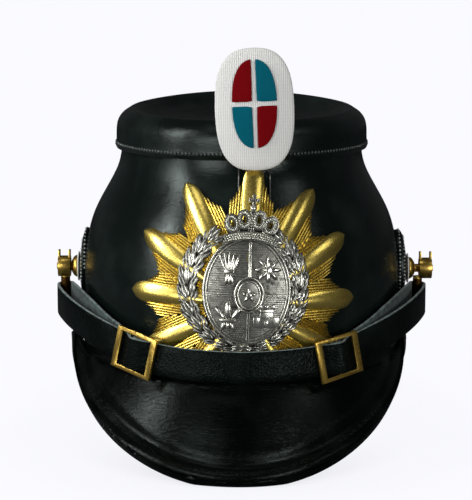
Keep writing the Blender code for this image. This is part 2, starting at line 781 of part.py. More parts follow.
def lug(side):
    """The strap's end fitting: a drum on the post, two prongs above it and a tail in the fold."""
    helpers = bpy.data.collections["helpers"]
    drum = rod(f"strap_lug_{side.name}", DRUM_RADIUS, DRUM_LENGTH, "aged_brass", 20)
    half = DRUM_LENGTH / 2
    height = DRUM_RADIUS + PRONG_RISE
    joined = []
    for way in (-1, 1):
        prong = box("prong", (height, PRONG_DEPTH, PRONG_THICK), "aged_brass", helpers)
        prong.location = (-height / 2 * side.way, 0.0, way * (half - PRONG_INSET))
        joined.append(prong)
    top = DRUM_RADIUS * 0.75
    length = side.post - TAIL_BOTTOM - top
    tail = rod("tail", TAIL_RADIUS, length, "aged_brass", 14, helpers)
    from_drum = STRAP_SIDE - FOLD_RADIUS - side.drum - half
    tail.matrix_world = (Matrix.Translation((side.way * (top + length / 2), 0.0, from_drum))
                         @ Matrix.Rotation(math.pi / 2, 4, "Y"))
    joined.append(tail)
    combine(drum, joined, "UNION")
    bore = rod("bore", STEM_RADIUS + GAP, DRUM_LENGTH * 2, "aged_brass", 16, helpers)
    combine(drum, [bore], "DIFFERENCE")
    drum.data.materials.append(material("aged_brass"))
    drum.matrix_world = on_post(side, side.drum + half)
    return drum


# ---------------------------------------------------------------- front plate


def plate_columns():
    """Direction, outline radius and corner of each line of the plate, all the way round."""
    columns = []
    for ray in RAYS:
        shorter = ray.length * MM - LONG_RAY
        for way, corners in ((-1, RAY_CORNERS[:0:-1]), (1, RAY_CORNERS[:-1])):
            for corner in corners:
                turn = math.radians(ray.turn) + math.atan2(corner.across, corner.along) * way
                radius = math.hypot(corner.across, corner.along) * MM
                radius += shorter * (radius - FLAT_RADIUS) / (LONG_RAY - FLAT_RADIUS)
                if math.cos(turn) < 0:
                    radius = min(radius, (PLATE_FOOT - PLATE_SPOT.height) / math.cos(turn))
                columns.append((turn, radius, corner))
    return columns


def front_plate():
    rows = ((PLATE_CENTRE, 0.0, PLATE_BACK, 0.0), (FLAT_RADIUS, 0.0, PLATE_BACK, 0.0),
            (FLAT_RADIUS, 1.0, PLATE_BACK, 0.0), (FLAT_RADIUS, 1.0, PLATE_BACK + PLATE_EDGE, 0.3),
            (FLAT_RADIUS, 0.45, PLATE_FRONT, 1.0), (FLAT_RADIUS, 0.0, PLATE_FRONT, 0.0),
            (PLATE_CENTRE, 0.0, PLATE_FRONT, 0.0))
    loops = []
    for base, share, off, relief in rows:
        loop = []
        for turn, reach, corner in plate_columns():
            start = min(base, reach - PLATE_RIM)
            radius = start + (reach - start) * share
            lift = RAY_RIDGE if corner.across == 0.0 else corner.lift * MM
            loop.append(wrapped(PLATE_SPOT, math.sin(turn) * radius,
                                math.cos(turn) * radius, off + lift * relief))
        loops.append(loop)
    return skin("front_plate", loops, "gilt_brass", capped=True)


def shield():
    segments = 24
    loops = []
    for share in (-0.75, 0.0, 0.5, 1.0):
        loops.append(shield_loop(share, 0.0, segments))
    for ring in reversed(SHIELD_RINGS):
        loops.append(shield_loop(ring.share, ring.lift * MM, segments))
    return skin("shield", loops, "silvered", capped=True)


def shield_loop(share, lift, segments):
    half_width = CENTRE_HALF_WIDTH + (SHIELD_HALF_WIDTH - CENTRE_HALF_WIDTH) * share
    half_height = CENTRE_HALF_HEIGHT + (SHIELD_HALF_HEIGHT - CENTRE_HALF_HEIGHT) * share
    if share < 0:
        half_width = CENTRE_HALF_WIDTH * (1 + share)
        half_height = CENTRE_HALF_HEIGHT * (1 + share)
    loop = []
    for i in range(segments):
        turn = 2 * math.pi * i / segments
        loop.append(wrapped(SHIELD_SPOT, half_width * math.sin(turn),
                            half_height * math.cos(turn), ORNAMENT_BACK + lift))
    return loop


def wreath():
    """Two leafy branches that leave the top to the small crown and meet below the shield."""
    steps = LEAF_STEPS * WREATH_LEAVES
    loops = [[] for _ in range(4)]
    for i in range(steps + 1):
        degrees = (360 - 2 * WREATH_START) * i / steps
        turn = math.radians(WREATH_START + degrees)
        lobe = abs(math.sin(math.pi * i / LEAF_STEPS))
        near_tip = min(degrees, 360 - 2 * WREATH_START - degrees) / WREATH_TAPER
        full = min(1.0, WREATH_TIP + (1 - WREATH_TIP) * near_tip)
        outer = Vector((WREATH_HALF_WIDTH * math.sin(turn), WREATH_HALF_HEIGHT * math.cos(turn)))
        inner = Vector((WREATH_INNER_WIDTH * math.sin(turn),
                        WREATH_INNER_HEIGHT * math.cos(turn)))
        inner = outer.lerp(inner, full)
        outer -= outer.normalized() * WREATH_LOBE * (1 - lobe)
        thin = WREATH_FOOT + (1 - WREATH_FOOT) * math.sin(turn) ** 2
        lifts = (0.0, WREATH_LIFT * (0.5 + 0.5 * lobe) * thin,
                 WREATH_LIFT * (1.0 - 0.4 * lobe) * thin, 0.0)
        for loop, share, lift in zip(loops, (0.0, 0.33, 0.67, 1.0), lifts):
            flat = inner.lerp(outer, share)
            off = ORNAMENT_BACK + WREATH_THICK + lift
            loop.append(wrapped(WREATH_SPOT, flat.x, flat.y, off))
    return thicken(skin("wreath", loops, "silvered", ring=False), WREATH_THICK, 1.0)


def arms_crown():
    """The small pierced crown over the shield."""
    columns = [(-c.out, c) for c in reversed(CROWN_COLUMNS[1:])]
    columns += [(c.out, c) for c in CROWN_COLUMNS]
    shares = (0.0, 0.3, 0.65, 0.9, 1.0)
    loops = []
    for share in shares:
        round_off = 1.0 - abs(2 * share - 1.0) ** 3
        loop = []
        for out, column in columns:
            up = column.base + (column.top - column.base) * share
            off = ARMS_CROWN_BACK + ARMS_CROWN_THICK + column.swell * round_off * MM
            loop.append(wrapped(ARMS_CROWN_SPOT, out * MM, up * MM, off))
        loops.append(loop)
    crown = thicken(skin("arms_crown", loops, "silvered", ring=False), ARMS_CROWN_THICK)
    applied(crown)
    helpers = bpy.data.collections["helpers"]
    holes = []
    for out, up in CROWN_HOLES:
        for way in (-1, 1):
            hole = rod("hole", 1.0, 20 * MM, "silvered", 10, helpers)
            middle = wrapped(ARMS_CROWN_SPOT, way * out * MM, up * MM, ARMS_CROWN_BACK)
            place = Matrix.Translation(middle)
            size = Matrix.Diagonal((CROWN_HOLE_HALF_WIDTH, CROWN_HOLE_HALF_HEIGHT, 1, 1))
            hole.matrix_world = (place @ Matrix.Rotation(math.radians(-16 * way), 4, "Y")
                                 @ Matrix.Rotation(math.pi / 2, 4, "X") @ size)
            holes.append(hole)
    combine(crown, holes, "DIFFERENCE")
    crown.data.materials.append(material("silvered"))
    return crown


# ---------------------------------------------------------------- cockade


def oval(turn, half_width, half_height, power):
    """A point of a squarish oval, for an angle from the top."""
    s, c = math.sin(turn), math.cos(turn)
    reach = (abs(s) ** power + abs(c) ** power) ** (-1 / power)
    return Vector((half_width * s * reach, half_height * c * reach))


def cockade_point(flat, off):
    """A point drawn flat on the cockade, off metres forward of its back."""
    roll_cos, roll_sin = math.cos(COCKADE_ROLL), math.sin(COCKADE_ROLL)
    x = COCKADE_X + flat.x * roll_cos + flat.y * roll_sin
    height = COCKADE_HEIGHT + flat.y * roll_cos - flat.x * roll_sin
    return placed((x, -COCKADE_BACK - off, height))


def dome(flat):
    """The cockade's front face over its back, at a point drawn flat on it."""
    reach = (flat.x / COCKADE_HALF_WIDTH) ** 2 + (flat.y / COCKADE_HALF_HEIGHT) ** 2
    return COCKADE_EDGE + COCKADE_DOME * max(0.0, 1 - reach)


def cockade():
    segments = 28
    loops = []
    rings = [(0.1, None), (1.0, 0.0), (1.0, 0.7)] + [(s, None) for s in (0.95, 0.8, 0.5, 0.1)]
    for k, (share, edge) in enumerate(rings):
        loop = []
        for i in range(segments):
            flat = oval(2 * math.pi * i / segments, COCKADE_HALF_WIDTH, COCKADE_HALF_HEIGHT,
                        OVAL_POWER) * share
            off = 0.0 if k == 0 else dome(flat) if edge is None else COCKADE_EDGE * edge
            loop.append(cockade_point(flat, off))
        loops.append(loop)
    return skin("cockade", loops, "white_cloth", capped=True)


def cockade_quarters():
    quarters = (
        ("field_red_upper", "red_cloth", -1, 1),
        ("field_blue_upper", "blue_cloth", 1, 1),
        ("field_blue_lower", "blue_cloth", -1, -1),
        ("field_red_lower", "red_cloth", 1, -1),
    )
    for name, finish, right, upper in quarters:
        quarter(name, finish, right, upper)


def quarter(name, finish, right, upper):
    """A quarter of the coloured oval as a slab: its outline at the back, then at the front."""
    steps = 8
    outline = [Vector((FIELD_CROSS, FIELD_CROSS))]
    for i in range(steps + 1):
        edge = oval(math.pi / 2 * i / steps, FIELD_HALF_WIDTH, FIELD_HALF_HEIGHT, FIELD_POWER)
        outline.append(Vector((max(edge.x, FIELD_CROSS), max(edge.y, FIELD_CROSS))))
    centre = sum(outline, Vector((0, 0))) / len(outline)
    loops = []
    for share, lift in ((0.45, 0.0), (1.0, 0.0), (1.0, FIELD_THICK), (0.45, FIELD_THICK)):
        loop = []
        for point in outline:
            flat = centre.lerp(point, share)
            flat = Vector((flat.x * right, flat.y * upper + FIELD_RISE))
            loop.append(cockade_point(flat, dome(flat) + FIELD_STAND + lift))
        loops.append(loop)
    return skin(name, loops, finish, capped=True)


def cockade_wire():
    """A bent wire: two legs down behind the front plate, joined behind the cockade."""
    wire_y = -(COCKADE_BACK - GAP - WIRE_RADIUS)
    lip_height = CREST_HEIGHT + TOP_RINGS[0].height * MM
    legs = []
    for way in (-1, 1):
        x = COCKADE_X + way * WIRE_HALF_SPREAD
        leg = [Vector((x, wire_y, WIRE_TOP - 3 * MM)), Vector((x, wire_y, lip_height + 8 * MM)),
               Vector((x, wire_y, lip_height - 4 * MM))]
        steps = 5
        for i in range(1, steps + 1):
            height = lip_height - 6 * MM - (lip_height - 6 * MM - WIRE_BOTTOM) * i / steps
            half_width = between(CROWN_SECTIONS, "half_width", height / MM) * MM
            leg.append(crown_point(math.asin(x / half_width), height, WIRE_OFF_WALL))
        legs.append(leg)
    top = [Vector((COCKADE_X + way * (WIRE_HALF_SPREAD - 3 * MM), wire_y, WIRE_TOP))
           for way in (-1, 1)]
    route = legs[0][::-1] + top + legs[1]
    curve = bpy.data.curves.new("cockade_wire", "CURVE")
    curve.dimensions = "3D"
    curve.bevel_depth = WIRE_RADIUS
    curve.bevel_resolution = 1
    curve.use_fill_caps = True
    spline = curve.splines.new("POLY")
    spline.points.add(len(route) - 1)
    for point, place in zip(spline.points, route):
        point.co = (*placed(place), 1.0)
    wire = bpy.data.objects.new("cockade_wire", curve)
    bpy.data.collections["shako"].objects.link(wire)
    curve.materials.append(material("steel_wire"))
    return wire


def main():
    clear_scene()
    collection("shako")
    collection("helpers").hide_render = True
    crown_shell()
    crown_top()
    peak("front_peak", FRONT_PEAK)
    peak("rear_peak", REAR_PEAK)
    chin_strap()
    for side in SIDES:
        boss(side)
        washer(side)
        post(side)
        lug(side)
        buckle(side)
    front_plate()
    shield()
    wreath()
    arms_crown()
    cockade()
    cockade_quarters()
    cockade_wire()


main()
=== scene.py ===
"""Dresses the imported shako: smooth leather over its solids, a star plate of leaves and flutes,
a wreath of laurel and oak, a quartered shield, a small crown, a ribbed cockade, and the stage.

Metres, +Z up, the hat facing -Y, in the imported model's own frame. Ornaments are modelled flat,
with x to the right, y up and z outwards, and are then laid on the crown's front.
"""

import math
import random
from collections import namedtuple
from contextlib import contextmanager

import bmesh
import bpy
from mathutils import Matrix, Vector
from mathutils.bvhtree import BVHTree
from mathutils.kdtree import KDTree


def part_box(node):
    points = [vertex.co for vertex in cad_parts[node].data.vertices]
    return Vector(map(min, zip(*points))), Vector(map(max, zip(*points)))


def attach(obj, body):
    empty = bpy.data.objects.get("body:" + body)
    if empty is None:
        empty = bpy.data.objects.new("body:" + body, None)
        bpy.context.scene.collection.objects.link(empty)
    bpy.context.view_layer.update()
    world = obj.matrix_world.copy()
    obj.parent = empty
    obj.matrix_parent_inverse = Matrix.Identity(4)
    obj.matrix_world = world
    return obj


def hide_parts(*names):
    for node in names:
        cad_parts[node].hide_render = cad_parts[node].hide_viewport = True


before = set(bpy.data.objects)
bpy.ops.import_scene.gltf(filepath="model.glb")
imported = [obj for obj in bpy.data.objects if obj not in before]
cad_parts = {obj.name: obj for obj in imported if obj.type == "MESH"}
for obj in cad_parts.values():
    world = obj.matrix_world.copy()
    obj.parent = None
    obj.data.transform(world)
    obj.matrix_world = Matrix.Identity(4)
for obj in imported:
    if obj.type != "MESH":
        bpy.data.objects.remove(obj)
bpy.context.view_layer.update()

bl_info = {
    "name": "Shako dresser",
    "version": (1, 0, 0),
    "blender": (4, 5, 0),
    "location": "View3D > Sidebar > Shako",
    "description": "Adds the finished surfaces and ornaments of a leather shako",
    "category": "Add Mesh",
}

MM = 0.001
MERGE = 0.01 * MM
KEEP_FORM = 1.15  # how far a subdivided piece is put back out to its solid
QUAD_ANGLE = math.radians(60)
FLAT_ANGLE = math.radians(1)
BEVEL_ANGLE = math.radians(35)

# The middle of the crown's lower rim, which the heights and sides below are measured from.
CROWN_MIDDLE = Vector((-1.85 * MM, 2.0 * MM, 48.5 * MM))
WRAP_RADIUS = 92 * MM  # what a flat drawing is bent to before it is laid on the crown
SLOPE_STEP = 3 * MM  # how far to each side the crown's slope is felt for

# Where each drawing's middle lies on the crown's front: right, up, and its lean in degrees.
PLATE_SPOT = (0.8 * MM, 38.5 * MM, 2.0)
SHIELD_SPOT = (2.1 * MM, 44.4 * MM, 2.0)
WREATH_SPOT = (1.0 * MM, 45.4 * MM, 2.6)
ARMS_CROWN_SPOT = (4.4 * MM, 74.9 * MM, 4.0)
# How far out from the crown each one's own zero lies.
PLATE_BASE = 2.2 * MM
WREATH_BASE = 3.0 * MM
SHIELD_BASE = 4.8 * MM
ARMS_CROWN_BASE = 4.2 * MM


# ---------------- settings


def colour_setting(name, description, default):
    return bpy.props.FloatVectorProperty(name=name, description=description, subtype="COLOR",
                                         size=3, min=0.0, max=1.0, default=default)


def length_setting(name, description, default, least):
    return bpy.props.FloatProperty(name=name, description=description, unit="LENGTH",
                                   default=default, min=least)


class ShakoLeather(bpy.types.PropertyGroup):
    colour: colour_setting("Leather", "Colour of the crown", (0.0026, 0.0052, 0.0043))
    edge: colour_setting("Strap edge", "Colour of the strap's raw edges", (0.135, 0.190, 0.180))
    stitch_pitch: length_setting("Lip stitches", "Distance between the stitches under the lip",
                                 2.4 * MM, 1.5 * MM)
    bead_pitch: length_setting("Boss stitches", "Distance between the stitches round a boss",
                               2.45 * MM, 1.2 * MM)


class ShakoMetal(bpy.types.PropertyGroup):
    gilt: colour_setting("Gilt", "Colour of the star plate", (0.86, 0.66, 0.155))
    brass: colour_setting("Brass", "Colour of the buckles and side fittings", (0.74, 0.50, 0.11))
    silver: colour_setting("Silver", "Colour of the shield and the small crown",
                           (0.60, 0.60, 0.535))


class ShakoPlate(bpy.types.PropertyGroup):
    leaf_half_width: length_setting("Leaf half width", "Half the width of each ray's leaf",
                                    5.3 * MM, 2.0 * MM)
    flute_pitch: length_setting("Flute pitch", "Distance between the flutes beside a leaf",
                                1.30 * MM, 0.8 * MM)


class ShakoCockade(bpy.types.PropertyGroup):
    white: colour_setting("White cloth", "Colour of the cockade", (0.90, 0.90, 0.87))
    red: colour_setting("Red cloth", "Colour of two quarters", (0.165, 0.001, 0.003))
    blue: colour_setting("Blue cloth", "Colour of the other quarters", (0.001, 0.105, 0.150))


class ShakoStage(bpy.types.PropertyGroup):
    backdrop: colour_setting("Backdrop", "Colour of the floor and of the studio behind",
                             (0.955, 0.955, 1.0))
    key_power: bpy.props.FloatProperty(
        name="Light power", description="Power that each light takes its share of",
        unit="POWER", default=15.0, min=0.0)
    lens: bpy.props.FloatProperty(
        name="Lens", description="Focal length of the camera", unit="CAMERA",
        default=129.3, min=10.0)


# ---------------- selecting, editing and finishing


def select_only(*things):
    if bpy.context.object and bpy.context.object.mode != "OBJECT":
        bpy.ops.object.mode_set(mode="OBJECT")
    bpy.ops.object.select_all(action="DESELECT")
    for thing in things:
        thing.select_set(True)
    if things:
        bpy.context.view_layer.objects.active = things[0]


@contextmanager
def editing(piece):
    """Edit mode on one piece, with all of it selected."""
    select_only(piece)
    bpy.ops.object.mode_set(mode="EDIT")
    bpy.ops.mesh.select_all(action="SELECT")
    yield
    bpy.ops.object.mode_set(mode="OBJECT")


def put(name, data):
    """A new object of the scene, at the origin."""
    thing = bpy.data.objects.new(name, data)
    bpy.context.scene.collection.objects.link(thing)
    return thing


def added(primitive, name, **where):
    """A new primitive, named, with nothing else selected."""
    select_only()
    primitive(**where)
    piece = bpy.context.object
    piece.name = name
    return piece


def ball(name, radius, segments=8, rings=6, **where):
    return added(bpy.ops.mesh.primitive_uv_sphere_add, name, radius=radius, segments=segments,
                 ring_count=rings, **where)


def baked(piece):
    """Puts the object's place, turn and size into its mesh."""
    select_only(piece)
    bpy.ops.object.transform_apply(location=True, rotation=True, scale=True)
    return piece


def applied(piece, kind, **settings):
    """The piece with one more modifier, applied."""
    modifier = piece.modifiers.new(kind.lower(), kind)
    for key, value in settings.items():
        setattr(modifier, key, value)
    select_only(piece)
    bpy.ops.object.modifier_apply(modifier=modifier.name)
    return piece


def rounded(piece, levels, keep=0.0):
    """The piece subdivided, with its first vertices moved out by a share of what they lose."""
    trial = put("trial", piece.data.copy())
    applied(trial, "SUBSURF", levels=1, render_levels=1)
    for vertex, drawn_in in zip(piece.data.vertices, trial.data.vertices):
        vertex.co += (vertex.co - drawn_in.co) * keep
    bpy.data.objects.remove(trial)
    return applied(piece, "SUBSURF", levels=levels, render_levels=levels)


def joined(name, pieces):
    select_only(*pieces)
    bpy.ops.object.join()
    piece = bpy.context.object
    piece.name = name
    return piece


def shaded(piece, degrees=50):
    select_only(piece)
    bpy.ops.object.shade_smooth_by_angle(angle=math.radians(degrees))
    return piece


def noted(piece, name, values):
    """Gives each point of a piece a number that its finish reads by name."""
    piece.data.attributes.new(name, "FLOAT", "POINT").data.foreach_set("value", values)


def finished(piece, slot, finish, *nodes):
    """Ties a piece to the frame, in the finish named, in place of the nodes named."""
    baked(piece)
    if finish:
        piece.data.materials.clear()
        piece.data.materials.append(bpy.data.materials[finish])
    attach(piece, "root")
    if nodes:
        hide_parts(*nodes)


def copied(node, name):
    """A merged copy of a solid, with its triangles joined back into quads."""
    piece = put(name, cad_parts[node].data.copy())
    piece.data.materials.clear()
    select_only(piece)
    bpy.ops.mesh.customdata_custom_splitnormals_clear()
    with editing(piece):
        bpy.ops.mesh.remove_doubles(threshold=MERGE)
        bpy.ops.mesh.tris_convert_to_quads(face_threshold=QUAD_ANGLE, shape_threshold=QUAD_ANGLE)
    return piece


def creased(node, name, degrees, weight):
    """A copy of a solid whose edges past an angle are held when it is subdivided."""
    piece = copied(node, name)
    with editing(piece):
        bpy.ops.mesh.select_mode(type="EDGE")
        bpy.ops.mesh.select_all(action="DESELECT")
        bpy.ops.mesh.edges_select_sharp(sharpness=math.radians(degrees))
        bpy.ops.transform.edge_crease(value=weight)
    return piece


def machined(node, name, bevel):
    """A copy of a metal solid with its flat faces whole and its edges broken."""
    piece = copied(node, name)
    with editing(piece):
        bpy.ops.mesh.dissolve_limited(angle_limit=FLAT_ANGLE)
    applied(piece, "BEVEL", width=bevel, segments=2, limit_method="ANGLE",
            angle_limit=BEVEL_ANGLE)
    return shaded(piece, 35)


def repeated(piece, name, places):
    """One mesh of copies of a piece at the places given, in place of the piece."""
    shape = bmesh.new()
    for place in places:
        start = len(shape.verts)
        shape.from_mesh(piece.data)
        shape.verts.ensure_lookup_table()
        bmesh.ops.transform(shape, matrix=place, verts=shape.verts[start:])
    mesh = bpy.data.meshes.new(name)
    shape.to_mesh(mesh)
    shape.free()
    bpy.data.objects.remove(piece)
    return put(name, mesh)


def bent_grid(name, across, along, form, thickness, closed=False):
    """A grid primitive shaped by form(u, v), u from -1 to 1 and v from 0 to 1, made solid."""
    piece = added(bpy.ops.mesh.primitive_grid_add, name, x_subdivisions=across,
                  y_subdivisions=along, size=2.0)
    for vertex in piece.data.vertices:
        vertex.co = form(vertex.co.x, (vertex.co.y + 1) / 2)
    if closed:
        with editing(piece):
            bpy.ops.mesh.remove_doubles(threshold=MERGE)
    return applied(piece, "SOLIDIFY", thickness=thickness, offset=-1.0)


def tube(name, points, radius, sides=3, closed=False):
    """A round wire through points, as a mesh."""
    curve = bpy.data.curves.new(name, "CURVE")
    curve.dimensions = "3D"
    curve.bevel_depth = radius
    curve.bevel_resolution = sides - 2
    curve.use_fill_caps = True
    spline = curve.splines.new("POLY")
    spline.points.add(len(points) - 1)
    for target, point in zip(spline.points, points):
        target.co = (*point, 1.0)
    spline.use_cyclic_u = closed
    select_only(put(name, curve))
    bpy.ops.object.convert(target="MESH")
    return bpy.context.object


def around(half_width, half_height):
    """About how far it is round an oval."""
    return 2 * math.pi * math.sqrt((half_width ** 2 + half_height ** 2) / 2)


def turns(count, shift=0.0):
    """Angles that part a full turn evenly."""
    return [2 * math.pi * (i + shift) / count for i in range(count)]


# ---------------- laying flat work on the crown


class Ground:
    """The crown's smooth front, found once the crown has been made."""

    tree = None


def ground_hit(x, z):
    return Ground.tree.ray_cast(Vector((x, -1.0, z)), Vector((0.0, 1.0, 0.0)))[0]


def on_crown(spot, across, up, off):
    """A point drawn flat about a spot, off metres out from the crown's front."""
    right, height, lean = spot[0], spot[1], math.radians(spot[2])
    right += across * math.cos(lean) + up * math.sin(lean)
    height += up * math.cos(lean) - across * math.sin(lean)
    x = CROWN_MIDDLE.x + WRAP_RADIUS * math.sin(right / WRAP_RADIUS)
    z = CROWN_MIDDLE.z + height
    aside = ground_hit(x + SLOPE_STEP, z) - ground_hit(x - SLOPE_STEP, z)
    rise = ground_hit(x, z + SLOPE_STEP) - ground_hit(x, z - SLOPE_STEP)
    return ground_hit(x, z) + aside.cross(rise).normalized() * off


def laid(piece, spot, base, full, low=0.0):
    """Lays a flat piece on the crown, and notes how high each point stands in its relief."""
    noted(piece, "relief", [max(0.0, min(1.0, (vertex.co.z - low) / (full - low)))
                            for vertex in piece.data.vertices])
    for vertex in piece.data.vertices:
        vertex.co = on_crown(spot, vertex.co.x, vertex.co.y, base + vertex.co.z)
    return piece


# ---------------- materials


def node(tree, kind, inputs=None, **settings):
    """A shader node, whose inputs are linked to sockets or set to values."""
    made = tree.nodes.new("ShaderNode" + kind)
    for key, value in settings.items():
        setattr(made, key, value)
    for key, value in (inputs or {}).items():
        if isinstance(value, bpy.types.NodeSocket):
            tree.links.new(value, made.inputs[key])
        else:
            made.inputs[key].default_value = value
    return made


def math_node(tree, operation, *values, clamp=False):
    return node(tree, "Math", dict(enumerate(values)), operation=operation,
                use_clamp=clamp).outputs[0]


def mix_colour(tree, share, first, second):
    return node(tree, "Mix", {0: share, 6: first, 7: second}, data_type="RGBA").outputs[2]


def spread(tree, value, low, high, to_low=0.0, to_high=1.0):
    return node(tree, "MapRange", {"Value": value, "From Min": low, "From Max": high,
                                   "To Min": to_low, "To Max": to_high}).outputs[0]


def own_place(tree):
    return node(tree, "TexCoord").outputs["Object"]


def number_noted(tree, name):
    return node(tree, "Attribute", attribute_name=name).outputs["Fac"]


def noise(tree, scale, detail=3.0, distortion=0.0, where=None):
    return node(tree, "TexNoise", {"Vector": where or own_place(tree), "Scale": scale,
                                   "Detail": detail, "Distortion": distortion}).outputs[0]


def group_tree(name, inputs, outputs):
    """An empty node group with named number or colour sockets."""
    tree = bpy.data.node_groups.new(name, "ShaderNodeTree")
    for label, default in inputs.items():
        kind = "NodeSocketColor" if isinstance(default, tuple) else "NodeSocketFloat"
        socket = tree.interface.new_socket(label, in_out="INPUT", socket_type=kind)
        socket.default_value = default
    for label, kind in outputs.items():
        tree.interface.new_socket(label, in_out="OUTPUT", socket_type="NodeSocket" + kind)
    return (tree, tree.nodes.new("NodeGroupInput").outputs,
            tree.nodes.new("NodeGroupOutput").inputs)


def add_group(tree, name, **values):
    made = tree.nodes.new("ShaderNodeGroup")
    made.node_tree = bpy.data.node_groups[name]
    for key, value in values.items():
        made.inputs[key].default_value = value
    return made.outputs


def grain_group():
    """Leather grain: pores, fine creases and a slow unevenness of the hide."""
    tree, given, result = group_tree(
        "leather grain", {"Pore": 1400.0, "Crease": 0.5, "Pores": 0.5},
        {"Height": "Float", "Unevenness": "Float"})
    place = own_place(tree)
    pores = node(tree, "TexVoronoi", {"Vector": place, "Scale": given["Pore"]},
                 feature="SMOOTH_F1").outputs["Distance"]
    stretched = node(tree, "Mapping", {"Vector": place, "Scale": (0.4, 1.0, 2.0)}).outputs[0]
    creases = noise(tree, 520.0, 5.0, 0.7, stretched)
    ridge = math_node(tree, "ABSOLUTE", math_node(tree, "SUBTRACT", creases, 0.5))
    height = math_node(tree, "MULTIPLY", pores, given["Pores"])
    tree.links.new(math_node(tree, "MULTIPLY_ADD", ridge, given["Crease"], height),
                   result["Height"])
    tree.links.new(noise(tree, 34.0), result["Unevenness"])


def tarnish_and_shade_group():
    """Metal darkened in its hollows, as tarnish and as painted shade, and in slow patches."""
    tree, given, result = group_tree(
        "tarnish_and_hollow_shade", {"Bright": (0.8, 0.8, 0.8, 1.0), "Dark": (0.1, 0.1, 0.1, 1.0),
                    "Hollow": 0.5, "Patches": 0.3, "Clean": 0.5},
        {"Colour": "Color", "Shade": "Float"})
    # Low places are darkened as tarnish and as painted shade in the hollows.
    low = spread(tree, number_noted(tree, "relief"), 0.04, given["Clean"], 1.0, 0.0)
    low = math_node(tree, "MULTIPLY", low, given["Hollow"])
    patch = spread(tree, noise(tree, 420.0, 5.0), 0.45, 0.72)
    patch = math_node(tree, "MULTIPLY", patch, given["Patches"])
    shade = math_node(tree, "ADD", low, patch, clamp=True)
    tree.links.new(mix_colour(tree, shade, given["Bright"], given["Dark"]), result["Colour"])
    tree.links.new(shade, result["Shade"])


def weave_group():
    """A plain weave with a stronger rib across, on the piece's own front."""
    tree, given, result = group_tree("weave", {"Threads": 1500.0, "Ribs": 1100.0},
                                     {"Height": "Float"})
    parts = node(tree, "SeparateXYZ", {"Vector": own_place(tree)}).outputs
    waver = noise(tree, 90.0, 2.0)
    waves = []
    for along, count in (("X", "Threads"), ("Z", "Ribs")):
        run = math_node(tree, "MULTIPLY_ADD", parts[along], given[count], waver)
        waves.append(math_node(tree, "SINE", math_node(tree, "MULTIPLY", run, 2 * math.pi)))
    height = math_node(tree, "MULTIPLY_ADD", waves[1], 0.5, waves[0])
    tree.links.new(math_node(tree, "MULTIPLY_ADD", height, 0.33, 0.5), result["Height"])


def new_material(name, colour, roughness, metallic=0.0):
    """The tree and the shader of a new material."""
    made = bpy.data.materials.new(name)
    made.use_nodes = True
    shader = made.node_tree.nodes["Principled BSDF"]
    shader.inputs["Base Color"].default_value = (*colour, 1.0)
    shader.inputs["Roughness"].default_value = roughness
    shader.inputs["Metallic"].default_value = metallic
    return made.node_tree, shader


def bumped(tree, shader, height, distance):
    bump = node(tree, "Bump", {"Height": height, "Distance": distance * MM, "Strength": 1.0})
    tree.links.new(bump.outputs[0], shader.inputs["Normal"])


def blotched(tree, shader, share, colour, hollow_share):
    """Colours a shader between a colour's given share, in the hollows, and the whole of it."""
    hollow = (*(hollow_share * part for part in colour), 1.0)
    tree.links.new(mix_colour(tree, share, hollow, (*colour, 1.0)), shader.inputs["Base Color"])


LEATHER_LIGHT = 2.2  # how much lighter the hide's lighter places are, with LEATHER_HAZE over all
LEATHER_HAZE = 0.003
WORN_AND_HIGHLIT_LEATHER = (0.015, 0.018, 0.017, 1.0)
WORN_ROUGHER = 0.12
LEATHER_SHINE_TINT = (0.86, 1.0, 0.94, 1.0)


def leather_finish(name, colour, roughness, pore, crease, pores, depth, shine_level):
    """Dyed leather: shine that wanders, a grain of the given pore size, folds, and worn ridges
    lightened both as wear and as a painted highlight.
    """
    tree, shader = new_material(name, colour, roughness)
    grain = add_group(tree, "leather grain", Pore=1 / (pore * MM), Crease=crease, Pores=pores)
    light = tuple(min(1.0, LEATHER_LIGHT * part + LEATHER_HAZE) for part in colour)
    shade = spread(tree, grain["Unevenness"], 0.45, 0.75)
    dyed = mix_colour(tree, shade, (*colour, 1.0), (*light, 1.0))
    # Noted ridges are lightened: partly wear, partly a painted highlight along them.
    scuffs = spread(tree, noise(tree, 900.0, 5.0, 0.4), 0.42, 0.66)
    worn_and_highlit = math_node(tree, "MULTIPLY", number_noted(tree, "wear"), scuffs)
    tree.links.new(mix_colour(tree, worn_and_highlit, dyed, WORN_AND_HIGHLIT_LEATHER), shader.inputs["Base Color"])
    shine = spread(tree, grain["Unevenness"], 0.3, 0.7, roughness - 0.06, roughness + 0.08)
    tree.links.new(math_node(tree, "MULTIPLY_ADD", worn_and_highlit, WORN_ROUGHER, shine),
                   shader.inputs["Roughness"])
    shader.inputs["Specular IOR Level"].default_value = shine_level
    shader.inputs["Specular Tint"].default_value = LEATHER_SHINE_TINT
    folds = math_node(tree, "SINE", number_noted(tree, "fold"))
    bumped(tree, shader, math_node(tree, "MULTIPLY_ADD", folds, number_noted(tree, "folded"),
                                   grain["Height"]), depth)


def suede_finish(name, colour, hollow_share):
    """A soft nap, whose hollows have the given share of its colour."""
    tree, shader = new_material(name, colour, 0.92)
    blotched(tree, shader, spread(tree, noise(tree, 330.0, 4.0), 0.35, 0.6), colour, hollow_share)
    shader.inputs["Sheen Weight"].default_value = 0.2
    bumped(tree, shader, noise(tree, 900.0, 4.0, 0.6), 0.3)


